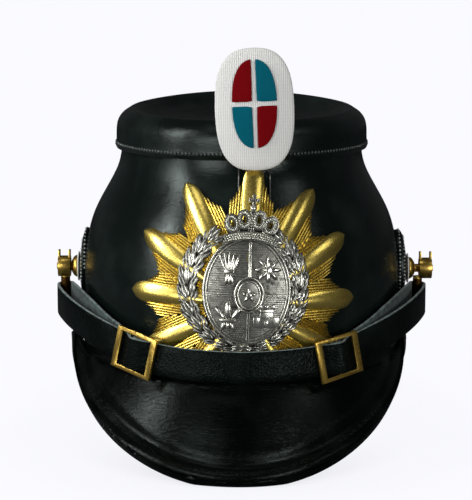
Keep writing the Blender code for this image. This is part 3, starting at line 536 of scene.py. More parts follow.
def metal_finish(name, colour, dark, roughness, hollow, patches, clean, depth):
    """Metal that is dark and dull in its hollows, as tarnish and painted shade, and in patches,
    and clean above a height.
    """
    tree, shader = new_material(name, colour, roughness, 1.0)
    tarnish_and_hollow_shade = add_group(tree, "tarnish_and_hollow_shade", Bright=(*colour, 1.0), Dark=(*dark, 1.0),
                        Hollow=hollow, Patches=patches, Clean=clean)
    tree.links.new(tarnish_and_hollow_shade["Colour"], shader.inputs["Base Color"])
    tree.links.new(spread(tree, tarnish_and_hollow_shade["Shade"], 0.0, 1.0, roughness, roughness + 0.25),
                   shader.inputs["Roughness"])
    bumped(tree, shader, noise(tree, 1300.0), depth)


def cloth_finish(name, colour, threads, ribs, depth, hollow_share):
    """Woven cloth, whose hollows are painted darker as shade, to the given share of its colour."""
    tree, shader = new_material(name, colour, 0.9)
    weave = add_group(tree, "weave", Threads=threads, Ribs=ribs)
    blotched(tree, shader, weave["Height"], colour, hollow_share)
    shader.inputs["Specular IOR Level"].default_value = 0.06
    bumped(tree, shader, weave["Height"], depth)


def make_materials():
    scene = bpy.context.scene
    leather, metal, cloth = scene.shako_leather, scene.shako_metal, scene.shako_cockade
    # A quarter of the crown's colour, for the peaks' leather, which is painted darker as shade;
    # the strap's leather is twice it.
    dark = tuple(0.25 * part for part in leather.colour)
    strap = tuple(2 * part for part in dark)
    worked = tuple(0.82 * part for part in metal.silver)
    grain_group()
    tarnish_and_shade_group()
    weave_group()
    for row in (
            # name, colour, roughness, pore in mm, creases, pores, depth in mm, shine
            ("black leather", leather.colour, 0.23, 0.9, 1.2, 0.30, 0.12, 0.22),
            ("top leather", leather.colour, 0.27, 0.9, 2.0, 0.35, 0.12, 0.25),
            ("peak leather", dark, 0.22, 0.9, 2.2, 0.25, 0.12, 0.10),
            ("strap leather", strap, 0.31, 0.95, 0.8, 0.9, 0.36, 0.065),
            ("waxed thread", (0.030, 0.034, 0.032), 0.2, 0.5, 0.2, 0.2, 0.04, 0.6),
            # the bosses' stitches are painted light grey, as painted glints
            ("boss thread", (0.34, 0.36, 0.35), 0.3, 0.5, 0.2, 0.2, 0.04, 0.6)):
        leather_finish(*row)
    for row in (
            # name, colour, share of it in the hollows
            ("strap edge", leather.edge, 0.35),
            ("strap flesh", (0.040, 0.066, 0.060), 0.25),
            ("disc white", (0.94, 0.94, 0.92), 0.85)):
        suede_finish(*row)
    # Each metal's hollows are darkened as tarnish and as painted shade.
    for row in (
            # name, colour, dark, roughness, hollows, patches, clean height, depth in mm
            ("gilt", metal.gilt, (0.085, 0.050, 0.011), 0.27, 0.95, 0.16, 0.27, 0.05),
            ("brass", metal.brass, (0.06, 0.028, 0.007), 0.28, 0.95, 0.8, 0.5, 0.08),
            ("silver", metal.silver, (0.026, 0.026, 0.021), 0.22, 0.97, 0.32, 0.72, 0.04),
            ("silver leaves", worked, (0.020, 0.020, 0.016), 0.22, 0.97, 0.50, 0.85, 0.04),
            ("wire", (0.16, 0.16, 0.15), (0.04, 0.04, 0.04), 0.40, 0.0, 0.5, 0.5, 0.02)):
        metal_finish(*row)
    # The cloth's weave hollows are painted darker, as shade.
    for row in (
            # name, colour, threads and ribs a metre, depth in mm, share of colour in the hollows
            ("white cloth", cloth.white, 1060.0, 1400.0, 0.22, 0.62),
            ("red cloth", cloth.red, 1700.0, 1700.0, 0.05, 0.85),
            ("blue cloth", cloth.blue, 1700.0, 1700.0, 0.05, 0.85)):
        cloth_finish(*row)


# ---------------- leather


CREST_HALF_WIDTH = 61.0 * MM
CREST_HALF_LENGTH = 78.0 * MM
CREST_RISE = 0.8 * MM
# How much the crest's edge is lightened, as wear and as a painted highlight.
CREST_WEAR_AND_HIGHLIGHT = 0.8

LIP_HALF_WIDTH = 69.2 * MM
LIP_HALF_LENGTH = 86.2 * MM
LIP_HEIGHT = 112.8 * MM
LIP_TILT = math.radians(1.0)
LIP_FORWARD = 0.9 * MM
STITCH_SIZE = (0.85 * MM, 0.7 * MM, 0.9 * MM)

PeakEdge = namedtuple("PeakEdge", "facing half_width reach corner corner_rise drop shift")
PEAK_EDGES = {"front_peak": PeakEdge(-1, 92.0, 138.5, 9.0, 3.5, 48.4, -1.6),
              "rear_peak": PeakEdge(1, 90.0, 134.5, 14.0, 2.0, 48.4, 0.0)}
EDGE_STEPS = 720
# Millimetres in from the edge, height and half width of the rim, its groove and the next swell.
RIM_SWELLS = ((4.4, 1.5, 2.8), (10.6, -1.0, 2.0), (15.2, 0.4, 2.4))
RIM_UNDER = (3.5, 0.9, 3.0)
ROOT_FOLD = (6.0, 0.9, 2.2)  # the same, out from the crown's wall
RIM_WEAR_AND_HIGHLIGHT = ((6.3, 0.6, 1.2), (15.8, 0.3, 1.2))  # the same, with wear and painted highlight in place of height
FULL_SWELL_WIDTH = 34 * MM  # the swells fade where the peak is narrower
CORNER_TIP, CORNER_POWER = 3.5, 12

STRAP_CORNER = math.radians(60)  # a sharper edge parts the grain side from the raw ends
STRAP_EDGE_LENGTH = 12 * MM  # the faces of the raw edges have no side that is longer
FOLDS_MIDDLE = -62 * MM
FOLDS_HALF_WIDTH = 6 * MM
FOLD_PITCH = 1.05 * MM
FOLD_CURVE = 0.8
FOLD_STRENGTH = 0.90


def swell(distance, middle, height, half_width):
    return height * math.exp(-((distance / MM - middle) / half_width) ** 2)


def make_crown():
    crown = rounded(creased("crown_shell", "crown_leather", 50, 0.7), 2, KEEP_FORM)
    finished(shaded(crown), "black_leather", "black leather", "crown_shell")
    Ground.tree = BVHTree.FromObject(crown, bpy.context.evaluated_depsgraph_get())
    top = rounded(creased("crown_top", "top_leather", 30, 0.5), 2, KEEP_FORM)
    crested(top)
    finished(shaded(top), "black_leather", "top leather", "crown_top")
    lip_stitches()


def crested(top):
    """Draws the top's crest up to an edge, and notes it as worn and painted with a highlight."""
    wear = []
    for vertex in top.data.vertices:
        x, y = vertex.co.x - CROWN_MIDDLE.x, vertex.co.y - CROWN_MIDDLE.y + LIP_FORWARD
        out = math.hypot(x / CREST_HALF_WIDTH, y / CREST_HALF_LENGTH)
        off = abs(out - 1) * (CREST_HALF_WIDTH + CREST_HALF_LENGTH) / 2
        if vertex.normal.z > 0.2:
            wear.append(CREST_WEAR_AND_HIGHLIGHT * swell(off, 0.0, 1.0, 0.9))
            vertex.co.z += CREST_RISE * swell(off, 0.0, 1.0, 2.0)
        else:
            wear.append(0.0)
    noted(top, "wear", wear)


def lip_stitches():
    """The row of small stitches round the top's lip."""
    stitch = baked(ball("stitch", 1.0, scale=STITCH_SIZE))
    pitch = bpy.context.scene.shako_leather.stitch_pitch
    places = []
    for angle in turns(round(around(LIP_HALF_WIDTH, LIP_HALF_LENGTH) / pitch)):
        x, y = LIP_HALF_WIDTH * math.sin(angle), -LIP_HALF_LENGTH * math.cos(angle)
        z = LIP_HEIGHT + y * math.sin(LIP_TILT)
        place = CROWN_MIDDLE + Vector((x, y - LIP_FORWARD, z))
        turn = math.atan2(LIP_HALF_WIDTH * math.cos(angle), -LIP_HALF_LENGTH * math.sin(angle))
        places.append(Matrix.Translation(place) @ Matrix.Rotation(-turn, 4, "Z"))
    finished(shaded(repeated(stitch, "lip_stitches", places), 80), "black_leather",
             "waxed thread")


def edge_tree(edge):
    """The peak's oval edge, as a tree of points."""
    tree = KDTree(EDGE_STEPS + 1)
    for i in range(EDGE_STEPS + 1):
        turn = math.pi * (i / EDGE_STEPS - 0.5)
        out = edge.corner + (edge.reach - edge.corner) * math.cos(turn)
        height = edge.corner_rise * math.sin(turn) ** 2 - edge.drop * math.cos(turn)
        height += CORNER_TIP * math.sin(turn) ** CORNER_POWER
        point = Vector((edge.half_width * math.sin(turn) + edge.shift, edge.facing * out, height))
        tree.insert(CROWN_MIDDLE + point * MM, i)
    tree.balance()
    return tree


def rolled(peak, edge):
    """Rolls a peak's rim, sinks a groove behind it, folds its root and notes where it is worn and
    painted with a highlight.
    """
    tree = edge_tree(edge)
    wear, moves = [], []
    for vertex in peak.data.vertices:
        in_from_edge = tree.find(vertex.co)[2]
        from_wall = Ground.tree.find_nearest(vertex.co)[3]
        full = min(1.0, (in_from_edge + from_wall) / FULL_SWELL_WIDTH)
        rise = worn_and_highlit = 0.0
        if vertex.normal.z > 0.05:
            rise = sum(swell(in_from_edge, *part) for part in RIM_SWELLS)
            rise += swell(from_wall, *ROOT_FOLD)
            # The rim's ridges are lightened, as wear and as a painted highlight.
            worn_and_highlit = max(swell(in_from_edge, *part) for part in RIM_WEAR_AND_HIGHLIGHT)
        elif vertex.normal.z < -0.05:
            rise = swell(in_from_edge, *RIM_UNDER)
        wear.append(worn_and_highlit * full)
        moves.append(vertex.normal * rise * full * MM)
    noted(peak, "wear", wear)
    for vertex, move in zip(peak.data.vertices, moves):
        vertex.co += move
        vertex.co.z = max(0.0, vertex.co.z)
    return peak


def make_peaks():
    for name, edge in PEAK_EDGES.items():
        peak = rolled(rounded(creased(name, f"{name}_leather", 60, 0.5), 3, KEEP_FORM), edge)
        finished(shaded(peak), "black_leather", "peak leather", name)


def grain_side(mesh, edge_faces):
    """The faces of the strap's outer side, spread from the foremost over its gentle bends."""
    front = min((face for face in mesh.faces if face not in edge_faces),
                key=lambda face: face.calc_center_median().y)
    grain, waiting = {front}, [front]
    while waiting:
        for edge in waiting.pop().edges:
            if edge.calc_face_angle(0.0) > STRAP_CORNER:
                continue
            for other in edge.link_faces:
                if other not in grain and other not in edge_faces:
                    grain.add(other)
                    waiting.append(other)
    return grain


def make_strap():
    """The strap: its outer side grained, its lower edges in the grained finish as painted shade,
    its other edges and inner side raw.
    """
    strap = creased("chin_strap", "strap_leather", 50, 0.75)
    mesh = bmesh.new()
    mesh.from_mesh(strap.data)
    edge_faces = {face for face in mesh.faces
                  if max(edge.calc_length() for edge in face.edges) < STRAP_EDGE_LENGTH}
    grain = grain_side(mesh, edge_faces)
    for face in mesh.faces:
        # Raw edges facing down take the dark grained finish, as painted shade.
        shaded_lower_edge = face in edge_faces and face.normal.z < -0.3
        face.material_index = (0 if face in grain or shaded_lower_edge
                               else 1 if face in edge_faces else 2)
    mesh.to_mesh(strap.data)
    mesh.free()
    for finish in ("strap leather", "strap edge", "strap flesh"):
        strap.data.materials.append(bpy.data.materials[finish])
    folded(rounded(strap, 2))
    finished(shaded(strap, 60), "strap_leather", None, "chin_strap")


def folded(strap):
    """Notes the curved wrinkles where the strap bulges through its left buckle."""
    aside = [(vertex.co.x - FOLDS_MIDDLE) / FOLDS_HALF_WIDTH for vertex in strap.data.vertices]
    noted(strap, "fold", [2 * math.pi * (vertex.co.z / FOLD_PITCH - FOLD_CURVE * off ** 2)
                          for vertex, off in zip(strap.data.vertices, aside)])
    noted(strap, "folded", [FOLD_STRENGTH * math.exp(-off ** 2) for off in aside])


# ---------------- buckles and side fittings


DARK_STEP = 0.4 * MM  # how soon the brass clears above where it is dark
DARK_OVER_POST = 0.5 * MM
BOSS_HALF_HEIGHT = 22.0 * MM
BOSS_HALF_DEPTH = 16.0 * MM
BEAD_RADIUS = 0.62 * MM
BEAD_ROWS = ((0.34, 0.0), (0.68, 0.5))  # how far out each row lies, and its shift in beads
BEAD_SIZES = (0.6, 1.1)


def darkened_below(piece, height):
    """Notes the points under a height as hollows, where the brass is made dark."""
    for cut in (height, height - DARK_STEP) if height > 0.0 else ():
        with editing(piece):
            bpy.ops.mesh.bisect(plane_co=(0.0, 0.0, cut), plane_no=(0.0, 0.0, 1.0))
    noted(piece, "relief", [0.0 if vertex.co.z < height else 1.0
                            for vertex in piece.data.vertices])


def make_brass(node_name, name, bevel, dark_height=0.0):
    piece = machined(node_name, name, bevel)
    darkened_below(piece, dark_height)
    finished(piece, "aged_brass", "brass", node_name)


def make_buckles():
    for side in ("left", "right"):
        make_brass(f"buckle_{side}", f"buckle_{side}_frame", 0.25 * MM)


def make_side_fittings():
    for side, way in (("left", -1), ("right", 1)):
        boss = rounded(creased(f"side_boss_{side}", f"boss_{side}_leather", 60, 0.4), 2)
        finished(shaded(boss, 60), "black_leather", "black leather", f"side_boss_{side}")
        boss_stitches(boss, side, way)
        washer = machined(f"washer_{side}", f"disc_{side}", 0.12 * MM)
        finished(washer, "silvered", "disc white", f"washer_{side}")
        make_brass(f"post_{side}", f"cone_{side}", 0.15 * MM)
        make_brass(f"strap_lug_{side}", f"drum_{side}", 0.2 * MM,
                   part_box(f"post_{side}")[0][2] + DARK_OVER_POST)


def boss_stitches(boss, side, way):
    """Two rows of beaded stitches round a boss's side wall, painted light grey as their glints."""
    low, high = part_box(f"side_boss_{side}")
    tree = BVHTree.FromObject(boss, bpy.context.evaluated_depsgraph_get())
    middle = (Vector(low) + Vector(high)) / 2
    bead = ball("bead", BEAD_RADIUS)
    count = round(around(BOSS_HALF_HEIGHT, BOSS_HALF_DEPTH)
                  / bpy.context.scene.shako_leather.bead_pitch)
    inner, outer = (low[0], high[0]) if way > 0 else (high[0], low[0])
    places, chance = [], random.Random(3)
    for share, shift in BEAD_ROWS:
        start = Vector((inner + (outer - inner) * share, middle.y, middle.z))
        for turn in turns(count, shift):
            out = Vector((0.0, math.cos(turn), math.sin(turn)))
            hit = tree.ray_cast(start + out * 0.1, -out)[0]
            if hit:
                size = Matrix.Scale(chance.uniform(*BEAD_SIZES), 4)
                places.append(Matrix.Translation(hit) @ size)
    finished(shaded(repeated(bead, f"boss_{side}_stitches", places), 80), "black_leather",
             "boss thread")


# ---------------- star plate


LONG_RAY = 64.0 * MM
WORKED_FROM = 34.5 * MM  # a ray is stretched or shortened outside this radius
# Each ray's turn in degrees, and its length in millimetres.
RAYS = ((2.8, 68.5), (31.4, 64.0), (58.0, 61.0), (88.5, 58.4), (119.0, 57.0), (150.0, 42.0),
        (180.0, 38.0), (210.0, 42.0), (241.0, 57.5), (271.8, 59.1), (300.2, 61.3), (331.3, 63.7))
LOW_RAYS = (120, 240)  # degrees between which a ray is cut off
RAY_FOOT = -31.0 * MM  # the lowest rays end at the front peak's collar
# Half the width of a ray's base sheet, in millimetres, by its distance from the middle.
RAY_OUTLINE = ((8, 2.2), (44, 11.6), (48.5, 8.3), (52, 6.6), (56, 4.6), (60, 3.0), (62, 1.4))
LEAF_START = 20 * MM
LEAF_FULL_AT, LEAF_TIP_FROM = 0.68, 0.72  # shares of its length
FIRST_FLUTE = 2.6 * MM
FLUTED_WIDTH = 9.6 * MM
FLUTE_START, FLUTE_END = 14 * MM, 59.5 * MM
HALF_RAY_ANGLE = math.radians(15)
PLATE_RELIEF = 2.2 * MM


def outline_width(along):
    """Half width of the base sheet at a distance from the plate's middle."""
    at = along / MM
    for (near, narrow), (far, wide) in zip(RAY_OUTLINE, RAY_OUTLINE[1:]):
        if at <= far:
            return (narrow + (wide - narrow) * max(0.0, at - near) / (far - near)) * MM
    return RAY_OUTLINE[-1][1] * MM


def base_form(u, v):
    start, reach = RAY_OUTLINE[0][0] * MM, RAY_OUTLINE[-1][0] * MM
    along = start + (reach - start) * v
    return Vector((u * outline_width(along), along, 0.1 * MM))


def leaf_form(half_width):
    def form(u, v):
        v = 1 - (1 - v) ** 1.8
        along = LEAF_START + (LONG_RAY - LEAF_START) * v
        full = 0.50 + 0.50 * math.sin(math.pi * min(1.0, v / LEAF_FULL_AT) / 2)
        tip = max(0.0, (v - LEAF_TIP_FROM) / (1 - LEAF_TIP_FROM))
        width = half_width * full * (1 - tip ** 2.4) ** 0.54
        height = (0.5 + 1.75 * max(0.0, 1 - abs(u) ** 1.7) ** 0.8) * MM
        return Vector((u * max(width, 0.25 * MM), along, height * (1 - 0.55 * tip ** 2)))

    return form


def flute_form(middle, half_width, first, last):
    def form(u, v):
        tip = max(0.0, (v - 0.86) / 0.14)
        width = half_width * (1 - 0.75 * tip ** 2)
        height = 0.1 * MM + 0.95 * MM * (1 - abs(u) ** 2.2)
        return Vector((middle + u * width, first + (last - first) * v,
                       height * (1 - 0.5 * tip ** 2)))

    return form


def make_ray():
    """One ray: a base sheet, a leaf along its middle and flutes beside the leaf."""
    plate = bpy.context.scene.shako_plate
    pitch = plate.flute_pitch
    parts = [bent_grid("base", 4, 14, base_form, 0.7 * MM),
             bent_grid("leaf", 12, 22, leaf_form(plate.leaf_half_width), 0.9 * MM)]
    for way in (-1, 1):
        for k in range(int(FLUTED_WIDTH / pitch)):
            off = FIRST_FLUTE + pitch * k
            first = max(FLUTE_START, off / math.tan(HALF_RAY_ANGLE) - 1.5 * MM)
            shorter = 0.6 * (2.2 * MM if k % 3 else 0.6 * MM)
            last = FLUTE_END - 1.55 * (off - FIRST_FLUTE) - shorter
            parts.append(bent_grid("flute", 6, 10, flute_form(way * off, 0.50 * pitch, first,
                                                              last), 0.6 * MM))
    return joined("ray", parts)


def make_plate():
    """Twelve rays round a disc, cut off along the peak and laid on the crown."""
    ray = make_ray()
    rays = []
    for degrees, length in RAYS:
        piece = put("ray", ray.data.copy())
        for vertex in piece.data.vertices:
            past = max(0.0, vertex.co.y - WORKED_FROM) / (LONG_RAY - WORKED_FROM)
            vertex.co.y += (length * MM - LONG_RAY) * past
        piece.rotation_euler = (0.0, 0.0, -math.radians(degrees))
        baked(piece)
        if LOW_RAYS[0] <= degrees <= LOW_RAYS[1]:
            with editing(piece):
                bpy.ops.mesh.bisect(plane_co=(0.0, RAY_FOOT, 0.0), plane_no=(0.0, -1.0, 0.0),
                                    use_fill=True, clear_outer=True)
        rays.append(piece)
    bpy.data.objects.remove(ray)
    disc = added(bpy.ops.mesh.primitive_cylinder_add, "disc", vertices=48, radius=30 * MM,
                 depth=0.8 * MM, location=(0.0, 0.0, -0.2 * MM))
    applied(baked(disc), "SUBSURF", levels=2, render_levels=2, subdivision_type="SIMPLE")
    star = laid(joined("star_plate", rays + [disc]), PLATE_SPOT, PLATE_BASE, PLATE_RELIEF)
    finished(shaded(star, 40), "gilt_brass", "gilt", "front_plate")


# ---------------- wreath


# Each side's middle line: half width and half height of its oval, and how full its leaves are.
WreathSide = namedtuple("WreathSide", "name way half_width half_height full")
LAUREL_SIDE = WreathSide("laurel", -1, 28.0 * MM, 28.9 * MM, 1.0)
OAK_SIDE = WreathSide("oak", 1, 27.2 * MM, 28.6 * MM, 0.93)
WREATH_START, WREATH_END = 184, 27  # degrees from the top
SPRAYS = 10
# The leaves of one spray: millimetres out from the branch and ahead, turn, lift, and size.
SPRAY = ((1.0, -1.2, 0.40, 0.20, 0.92), (-1.5, -1.2, -0.46, 0.20, 0.92),
         (1.8, 2.6, 0.20, 0.45, 0.82), (-2.6, 2.6, -0.24, 0.45, 0.84), (-0.3, 1.0, 0.0, 0.85, 1.0))
LEAF_LENGTH = 9.2 * MM
BERRY_ROWS = (-4.2, 4.1)  # millimetres out from the branch
WREATH_RELIEF = (2.5 * MM, 0.3 * MM)


def leaf_height(u, v):
    """A leaf's front: two full halves either side of its vein."""
    halves = 0.75 * math.sqrt(max(0.0, 1 - (2 * abs(u) - 1) ** 2))
    return (0.3 + 0.5 * math.sin(math.pi * v) + halves * (1 - 0.4 * v)) * MM


def laurel_form(u, v):
    width = 1.95 * MM * math.sin(math.pi * min(0.985, max(0.03, v)) ** 0.85) ** 0.8
    return Vector((u * width, LEAF_LENGTH * v, leaf_height(u, v)))


def oak_form(u, v):
    lobes = 1 + 0.26 * math.cos(6.6 * math.pi * v)
    width = 2.15 * MM * math.sin(math.pi * min(0.97, max(0.05, v)) ** 0.95) ** 0.8 * lobes
    return Vector((u * width, LEAF_LENGTH * v, leaf_height(u, v)))


def wreath_point(side, degrees, out=0.0):
    turn = math.radians(degrees)
    return Vector((side.way * (side.half_width + out) * math.sin(turn),
                   (side.half_height + out) * math.cos(turn), 0.0))


def wreath_width(side, degrees):
    """How full the wreath is there, against its fullest place at the sides."""
    return (0.66 + 0.34 * math.sin(math.radians(min(degrees, 165))) ** 1.5) * side.full


def leaf_places(side, chance):
    """Where each leaf of one side goes, with a little play in its turn and size."""
    places = []
    for i in range(SPRAYS):
        degrees = WREATH_START - (WREATH_START - WREATH_END) * i / SPRAYS
        full = wreath_width(side, degrees)
        run = wreath_point(side, degrees - 1) - wreath_point(side, degrees + 1)
        run.normalize()
        heading = math.atan2(-run.x, run.y)
        for out, ahead, turn, lift, size in SPRAY:
            base = wreath_point(side, degrees, out * full * MM) + run * ahead * MM
            lean = -side.way * turn + chance.uniform(-0.10, 0.10)
            wide = size * full * chance.uniform(0.94, 1.06)
            places.append(Matrix.Translation(base + Vector((0, 0, lift * MM)))
                          @ Matrix.Rotation(heading + lean, 4, "Z")
                          @ Matrix.Rotation(chance.uniform(-0.15, 0.15), 4, "Y")
                          @ Matrix.Diagonal((wide, wide, 1.0, 1.0)))
    return places


def backing_form(side):
    """The band that one side's leaves lie on, with a wavy edge."""
    def form(u, v):
        degrees = WREATH_START - 2 - (WREATH_START - WREATH_END - 8) * v
        wide = (4.1 + 0.4 * math.sin(44 * v)) * wreath_width(side, degrees) * MM
        point = wreath_point(side, degrees, side.way * u * wide)
        point.z = 0.1 * MM + 0.3 * MM * (1 - u * u)
        return point

    return form


def make_wreath():
    """Laurel on the left and oak on the right, each in sprays on a backing, with berries."""
    chance = random.Random(5)
    parts = []
    for side, form in ((LAUREL_SIDE, laurel_form), (OAK_SIDE, oak_form)):
        leaf = bent_grid(side.name, 8, 14, form, 0.35 * MM)
        parts.append(repeated(leaf, side.name, leaf_places(side, chance)))
        parts.append(bent_grid("backing", 6, 60, backing_form(side), 0.6 * MM))
        spots = []
        for i in range(2 * SPRAYS):
            degrees = WREATH_START - 8 - (WREATH_START - WREATH_END - 12) * i / (2 * SPRAYS)
            for out in BERRY_ROWS:
                point = wreath_point(side, degrees, out * wreath_width(side, degrees) * MM)
                spots.append(Matrix.Translation(point + Vector((0, 0, 0.8 * MM))))
        parts.append(repeated(ball("berry", 0.7 * MM), "berries", spots))
    wreath = laid(joined("wreath_leaves", parts), WREATH_SPOT, WREATH_BASE, *WREATH_RELIEF)
    finished(shaded(wreath, 45), "silvered", "silver leaves", "wreath")


# ---------------- shield, with its sizes in millimetres


# Half width, half height and lift over the field of each row, from the middle to the back.
SHIELD_PROFILE = (
    (0.0, 0.0, -0.5), (11.0, 13.2, -0.35), (15.8, 19.6, -0.3), (18.7, 23.4, -0.3),
    (18.9, 23.7, 0.25), (19.4, 24.3, 0.35), (19.65, 24.55, -0.3), (19.95, 24.9, -0.3),
    (20.15, 25.1, 0.5), (20.9, 25.9, 0.6), (21.3, 26.3, 0.1), (21.2, 26.2, -1.7),
    (0.0, 0.0, -1.7))
SHIELD_SIDES = 64
FIELD_HALF_WIDTH, FIELD_HALF_HEIGHT = 18.4, 23.0
SHIELD_CROSS = (1.2, -1.6)  # where the quarters meet, right and up
BAR_HALF_GAP = 0.42
HATCH_PITCH, STUD_PITCH = 1.07, 1.1
# Top and foot of the relief: the low field is darkened by its finish as tarnish and painted shade.
SHIELD_RELIEF = (0.75 * MM, -0.72 * MM)


def oval_plate(name, profile, segments):
    """An oval relief from rows of half width, half height and lift, closed underneath."""
    piece = added(bpy.ops.mesh.primitive_grid_add, name, x_subdivisions=segments,
                  y_subdivisions=len(profile) - 1, size=2.0)
    for vertex in piece.data.vertices:
        turn = -math.pi * vertex.co.x
        row = profile[round((vertex.co.y + 1) / 2 * (len(profile) - 1))]
        vertex.co = Vector((row[0] * math.sin(turn), row[1] * math.cos(turn), row[2])) * MM
    with editing(piece):
        bpy.ops.mesh.remove_doubles(threshold=MERGE)
        bpy.ops.mesh.normals_make_consistent(inside=False)
    return piece


def slab(name, across, up, width, height, thick, sides=4):
    """A small bevelled bar, or a disc of more sides, standing on the field."""
    primitive, form = bpy.ops.mesh.primitive_cube_add, {"size": 1.0}
    if sides != 4:
        primitive = bpy.ops.mesh.primitive_cylinder_add
        form = {"vertices": sides, "radius": 0.5, "depth": 1.0}
    piece = added(primitive, name, location=(across * MM, up * MM, thick / 2 * MM),
                  scale=(width * MM, height * MM, thick * MM), **form)
    return applied(baked(piece), "BEVEL", width=0.18 * MM, segments=2, limit_method="ANGLE")


def pointed(across, up, length, width, thick, turn=0.0):
    """A leaf-shaped lump, thick in its middle."""
    return baked(ball("lump", 0.5, 10, 8, scale=(width * MM, length * MM, thick * MM),
                      location=(across * MM, up * MM, 0.2 * MM),
                      rotation=(0.0, 0.0, math.radians(turn))))


def long_bar(name, start, end, width, thick):
    """A bar between two points of the field, cut often enough to follow the crown."""
    (x0, y0), (x1, y1) = start, end
    run = Vector((x1 - x0, y1 - y0, 0.0)) * MM
    aside = Vector((-run.y, run.x, 0.0)).normalized() * width * MM / 2
    origin = Vector((x0 * MM, y0 * MM, thick * MM))

    def form(u, v):
        top = Vector((0.0, 0.0, -0.35 * thick * MM * abs(u) ** 3))
        return origin + run * v + aside * -u + top

    return bent_grid(name, 5, max(4, round(run.length / (2 * MM))), form, thick * MM)


def ring(half_width, half_height, radius, across=0.0, up=0.0):
    """A round rim about a point of the field."""
    points = [Vector((across + half_width * math.sin(turn), up + half_height * math.cos(turn),
                      0.4)) * MM for turn in turns(56)]
    return tube("rim", points, radius * MM, sides=5, closed=True)


def tower():
    parts = [slab("tower", 0, -0.4, 3.6, 5.2, 1.0)]
    parts += [slab("merlon", dx, 2.8, 0.95, 1.2, 1.1) for dx in (-1.7, 0.0, 1.7)]
    parts += [slab("wing", dx, -1.6, 1.8, 3.0, 0.7) for dx in (-2.6, 2.6)]
    parts += [slab("course", 0, dy, 3.9, 0.35, 1.15) for dy in (-0.2, 1.4)]
    return parts + [slab("door", 0, -2.0, 1.1, 1.9, 1.35)]


def lily():
    parts = [pointed(0, 1.3, 5.2, 1.9, 2.4)]
    parts += [pointed(dx, 0.7, 4.2, 1.3, 2.0, -dx * 18) for dx in (-1.9, 1.9)]
    parts.append(slab("band", 0, -1.0, 3.8, 0.8, 1.2))
    return parts + [pointed(dx, -2.5, 2.8, 1.0, 1.7, dx * 16) for dx in (-1.1, 0.0, 1.1)]


def sheaf():
    parts = [pointed(0.75 * k, 1.4 - 0.12 * k * k, 5.0, 0.95, 1.9, -11 * k)
             for k in (-2, -1, 0, 1, 2)]
    parts.append(slab("tie", 0, -0.7, 2.3, 0.8, 1.4))
    return parts + [pointed(0.6 * k, -2.4, 3.2, 0.8, 1.5, 10 * k) for k in (-1, 0, 1)]


def star(points, size):
    parts = [pointed(size * 0.42 * math.sin(turn), size * 0.42 * math.cos(turn),
                     size, 1.15, 1.8, -math.degrees(turn)) for turn in turns(points)]
    return parts + [slab("boss", 0, 0, 1.6, 1.6, 1.3, sides=12)]


def charged(parts, across, up, size):
    """A charge drawn about nothing, set down on the shield at the size given."""
    for piece in parts:
        for vertex in piece.data.vertices:
            vertex.co = Vector((vertex.co.x * size + across * MM,
                                vertex.co.y * size + up * MM, vertex.co.z * 1.3))
    return parts


def hatching(left, right, low, high):
    """Fine raised lines across one quarter of the oval field."""
    lines = []
    for i in range(int((high - low) / HATCH_PITCH)):
        up = low + HATCH_PITCH * (i + 0.7)
        reach = FIELD_HALF_WIDTH * math.sqrt(max(0.0, 1 - (up / FIELD_HALF_HEIGHT) ** 2))
        start, end = max(left, -reach), min(right, reach)
        if end - start > 2.0:
            lines.append(long_bar("line", (start, up), (end, up), 0.42, 0.22))
    return lines


def dotting(left, right, low, high):
    """Small raised studs over one quarter of the oval field."""
    stud = added(bpy.ops.mesh.primitive_ico_sphere_add, "stud", subdivisions=1,
                 radius=0.34 * MM)
    spots = []
    for i in range(int((right - left) / STUD_PITCH)):
        for k in range(int((high - low) / STUD_PITCH)):
            x = left + STUD_PITCH * (i + 0.5 + 0.5 * (k % 2))
            y = low + STUD_PITCH * (k + 0.5)
            if x < right and (x / FIELD_HALF_WIDTH) ** 2 + (y / FIELD_HALF_HEIGHT) ** 2 < 1:
                spots.append(Matrix.Translation(Vector((x, y, -0.28)) * MM))
    return [repeated(stud, "studs", spots)]


def double_bar(start, end):
    """Two thin bars side by side, which part the quarters."""
    run = Vector((end[0] - start[0], end[1] - start[1]))
    aside = Vector((-run.y, run.x)).normalized() * BAR_HALF_GAP
    return [long_bar("bar", Vector(start) + aside * way, Vector(end) + aside * way, 0.6, 0.8)
            for way in (-1, 1)]


def make_shield():
    """The oval shield, its double bars and rims, and a plain charge in each quarter."""
    x, y = SHIELD_CROSS
    parts = [oval_plate("field", SHIELD_PROFILE, SHIELD_SIDES)]
    for start, end in (((x, y + 8.2), (x, 24.2)), ((x, y - 8.2), (x, -24.2)),
                       ((x - 6.6, y), (-19.4, y)), ((x + 6.6, y), (19.4, y))):
        parts += double_bar(start, end)
    parts += [ring(6.7, 8.3, 0.6, x, y), ring(5.2, 6.8, 0.42, x, y),
              ring(19.1, 23.9, 0.36), ring(20.5, 25.5, 0.5)]
    parts.append(baked(ball("dome", 1.0, 24, 12, location=(x * MM, y * MM, -0.5 * MM),
                            scale=(6.3 * MM, 7.9 * MM, 0.55 * MM))))
    parts += charged(star(5, 2.6), x, y, 1.6)
    parts += charged(sheaf(), -8.4, 10.9, 2.05) + charged(star(8, 3.6), 9.9, 10.6, 1.95)
    parts += charged(lily(), -8.4, -12.2, 2.0) + charged(tower(), 9.6, -12.0, 1.75)
    parts += hatching(-19.0, x - 1.2, y + 1.0, 23.2) + hatching(x + 1.2, 19.0, -23.2, y - 1.0)
    parts += dotting(x + 1.4, 18.4, y + 1.4, 23.0) + dotting(-18.4, x - 1.4, -23.0, y - 1.4)
    shield = laid(joined("shield_relief", parts), SHIELD_SPOT, SHIELD_BASE, *SHIELD_RELIEF)
    finished(shaded(shield, 45), "silvered", "silver", "shield")


# ---------------- small crown, with its sizes in millimetres


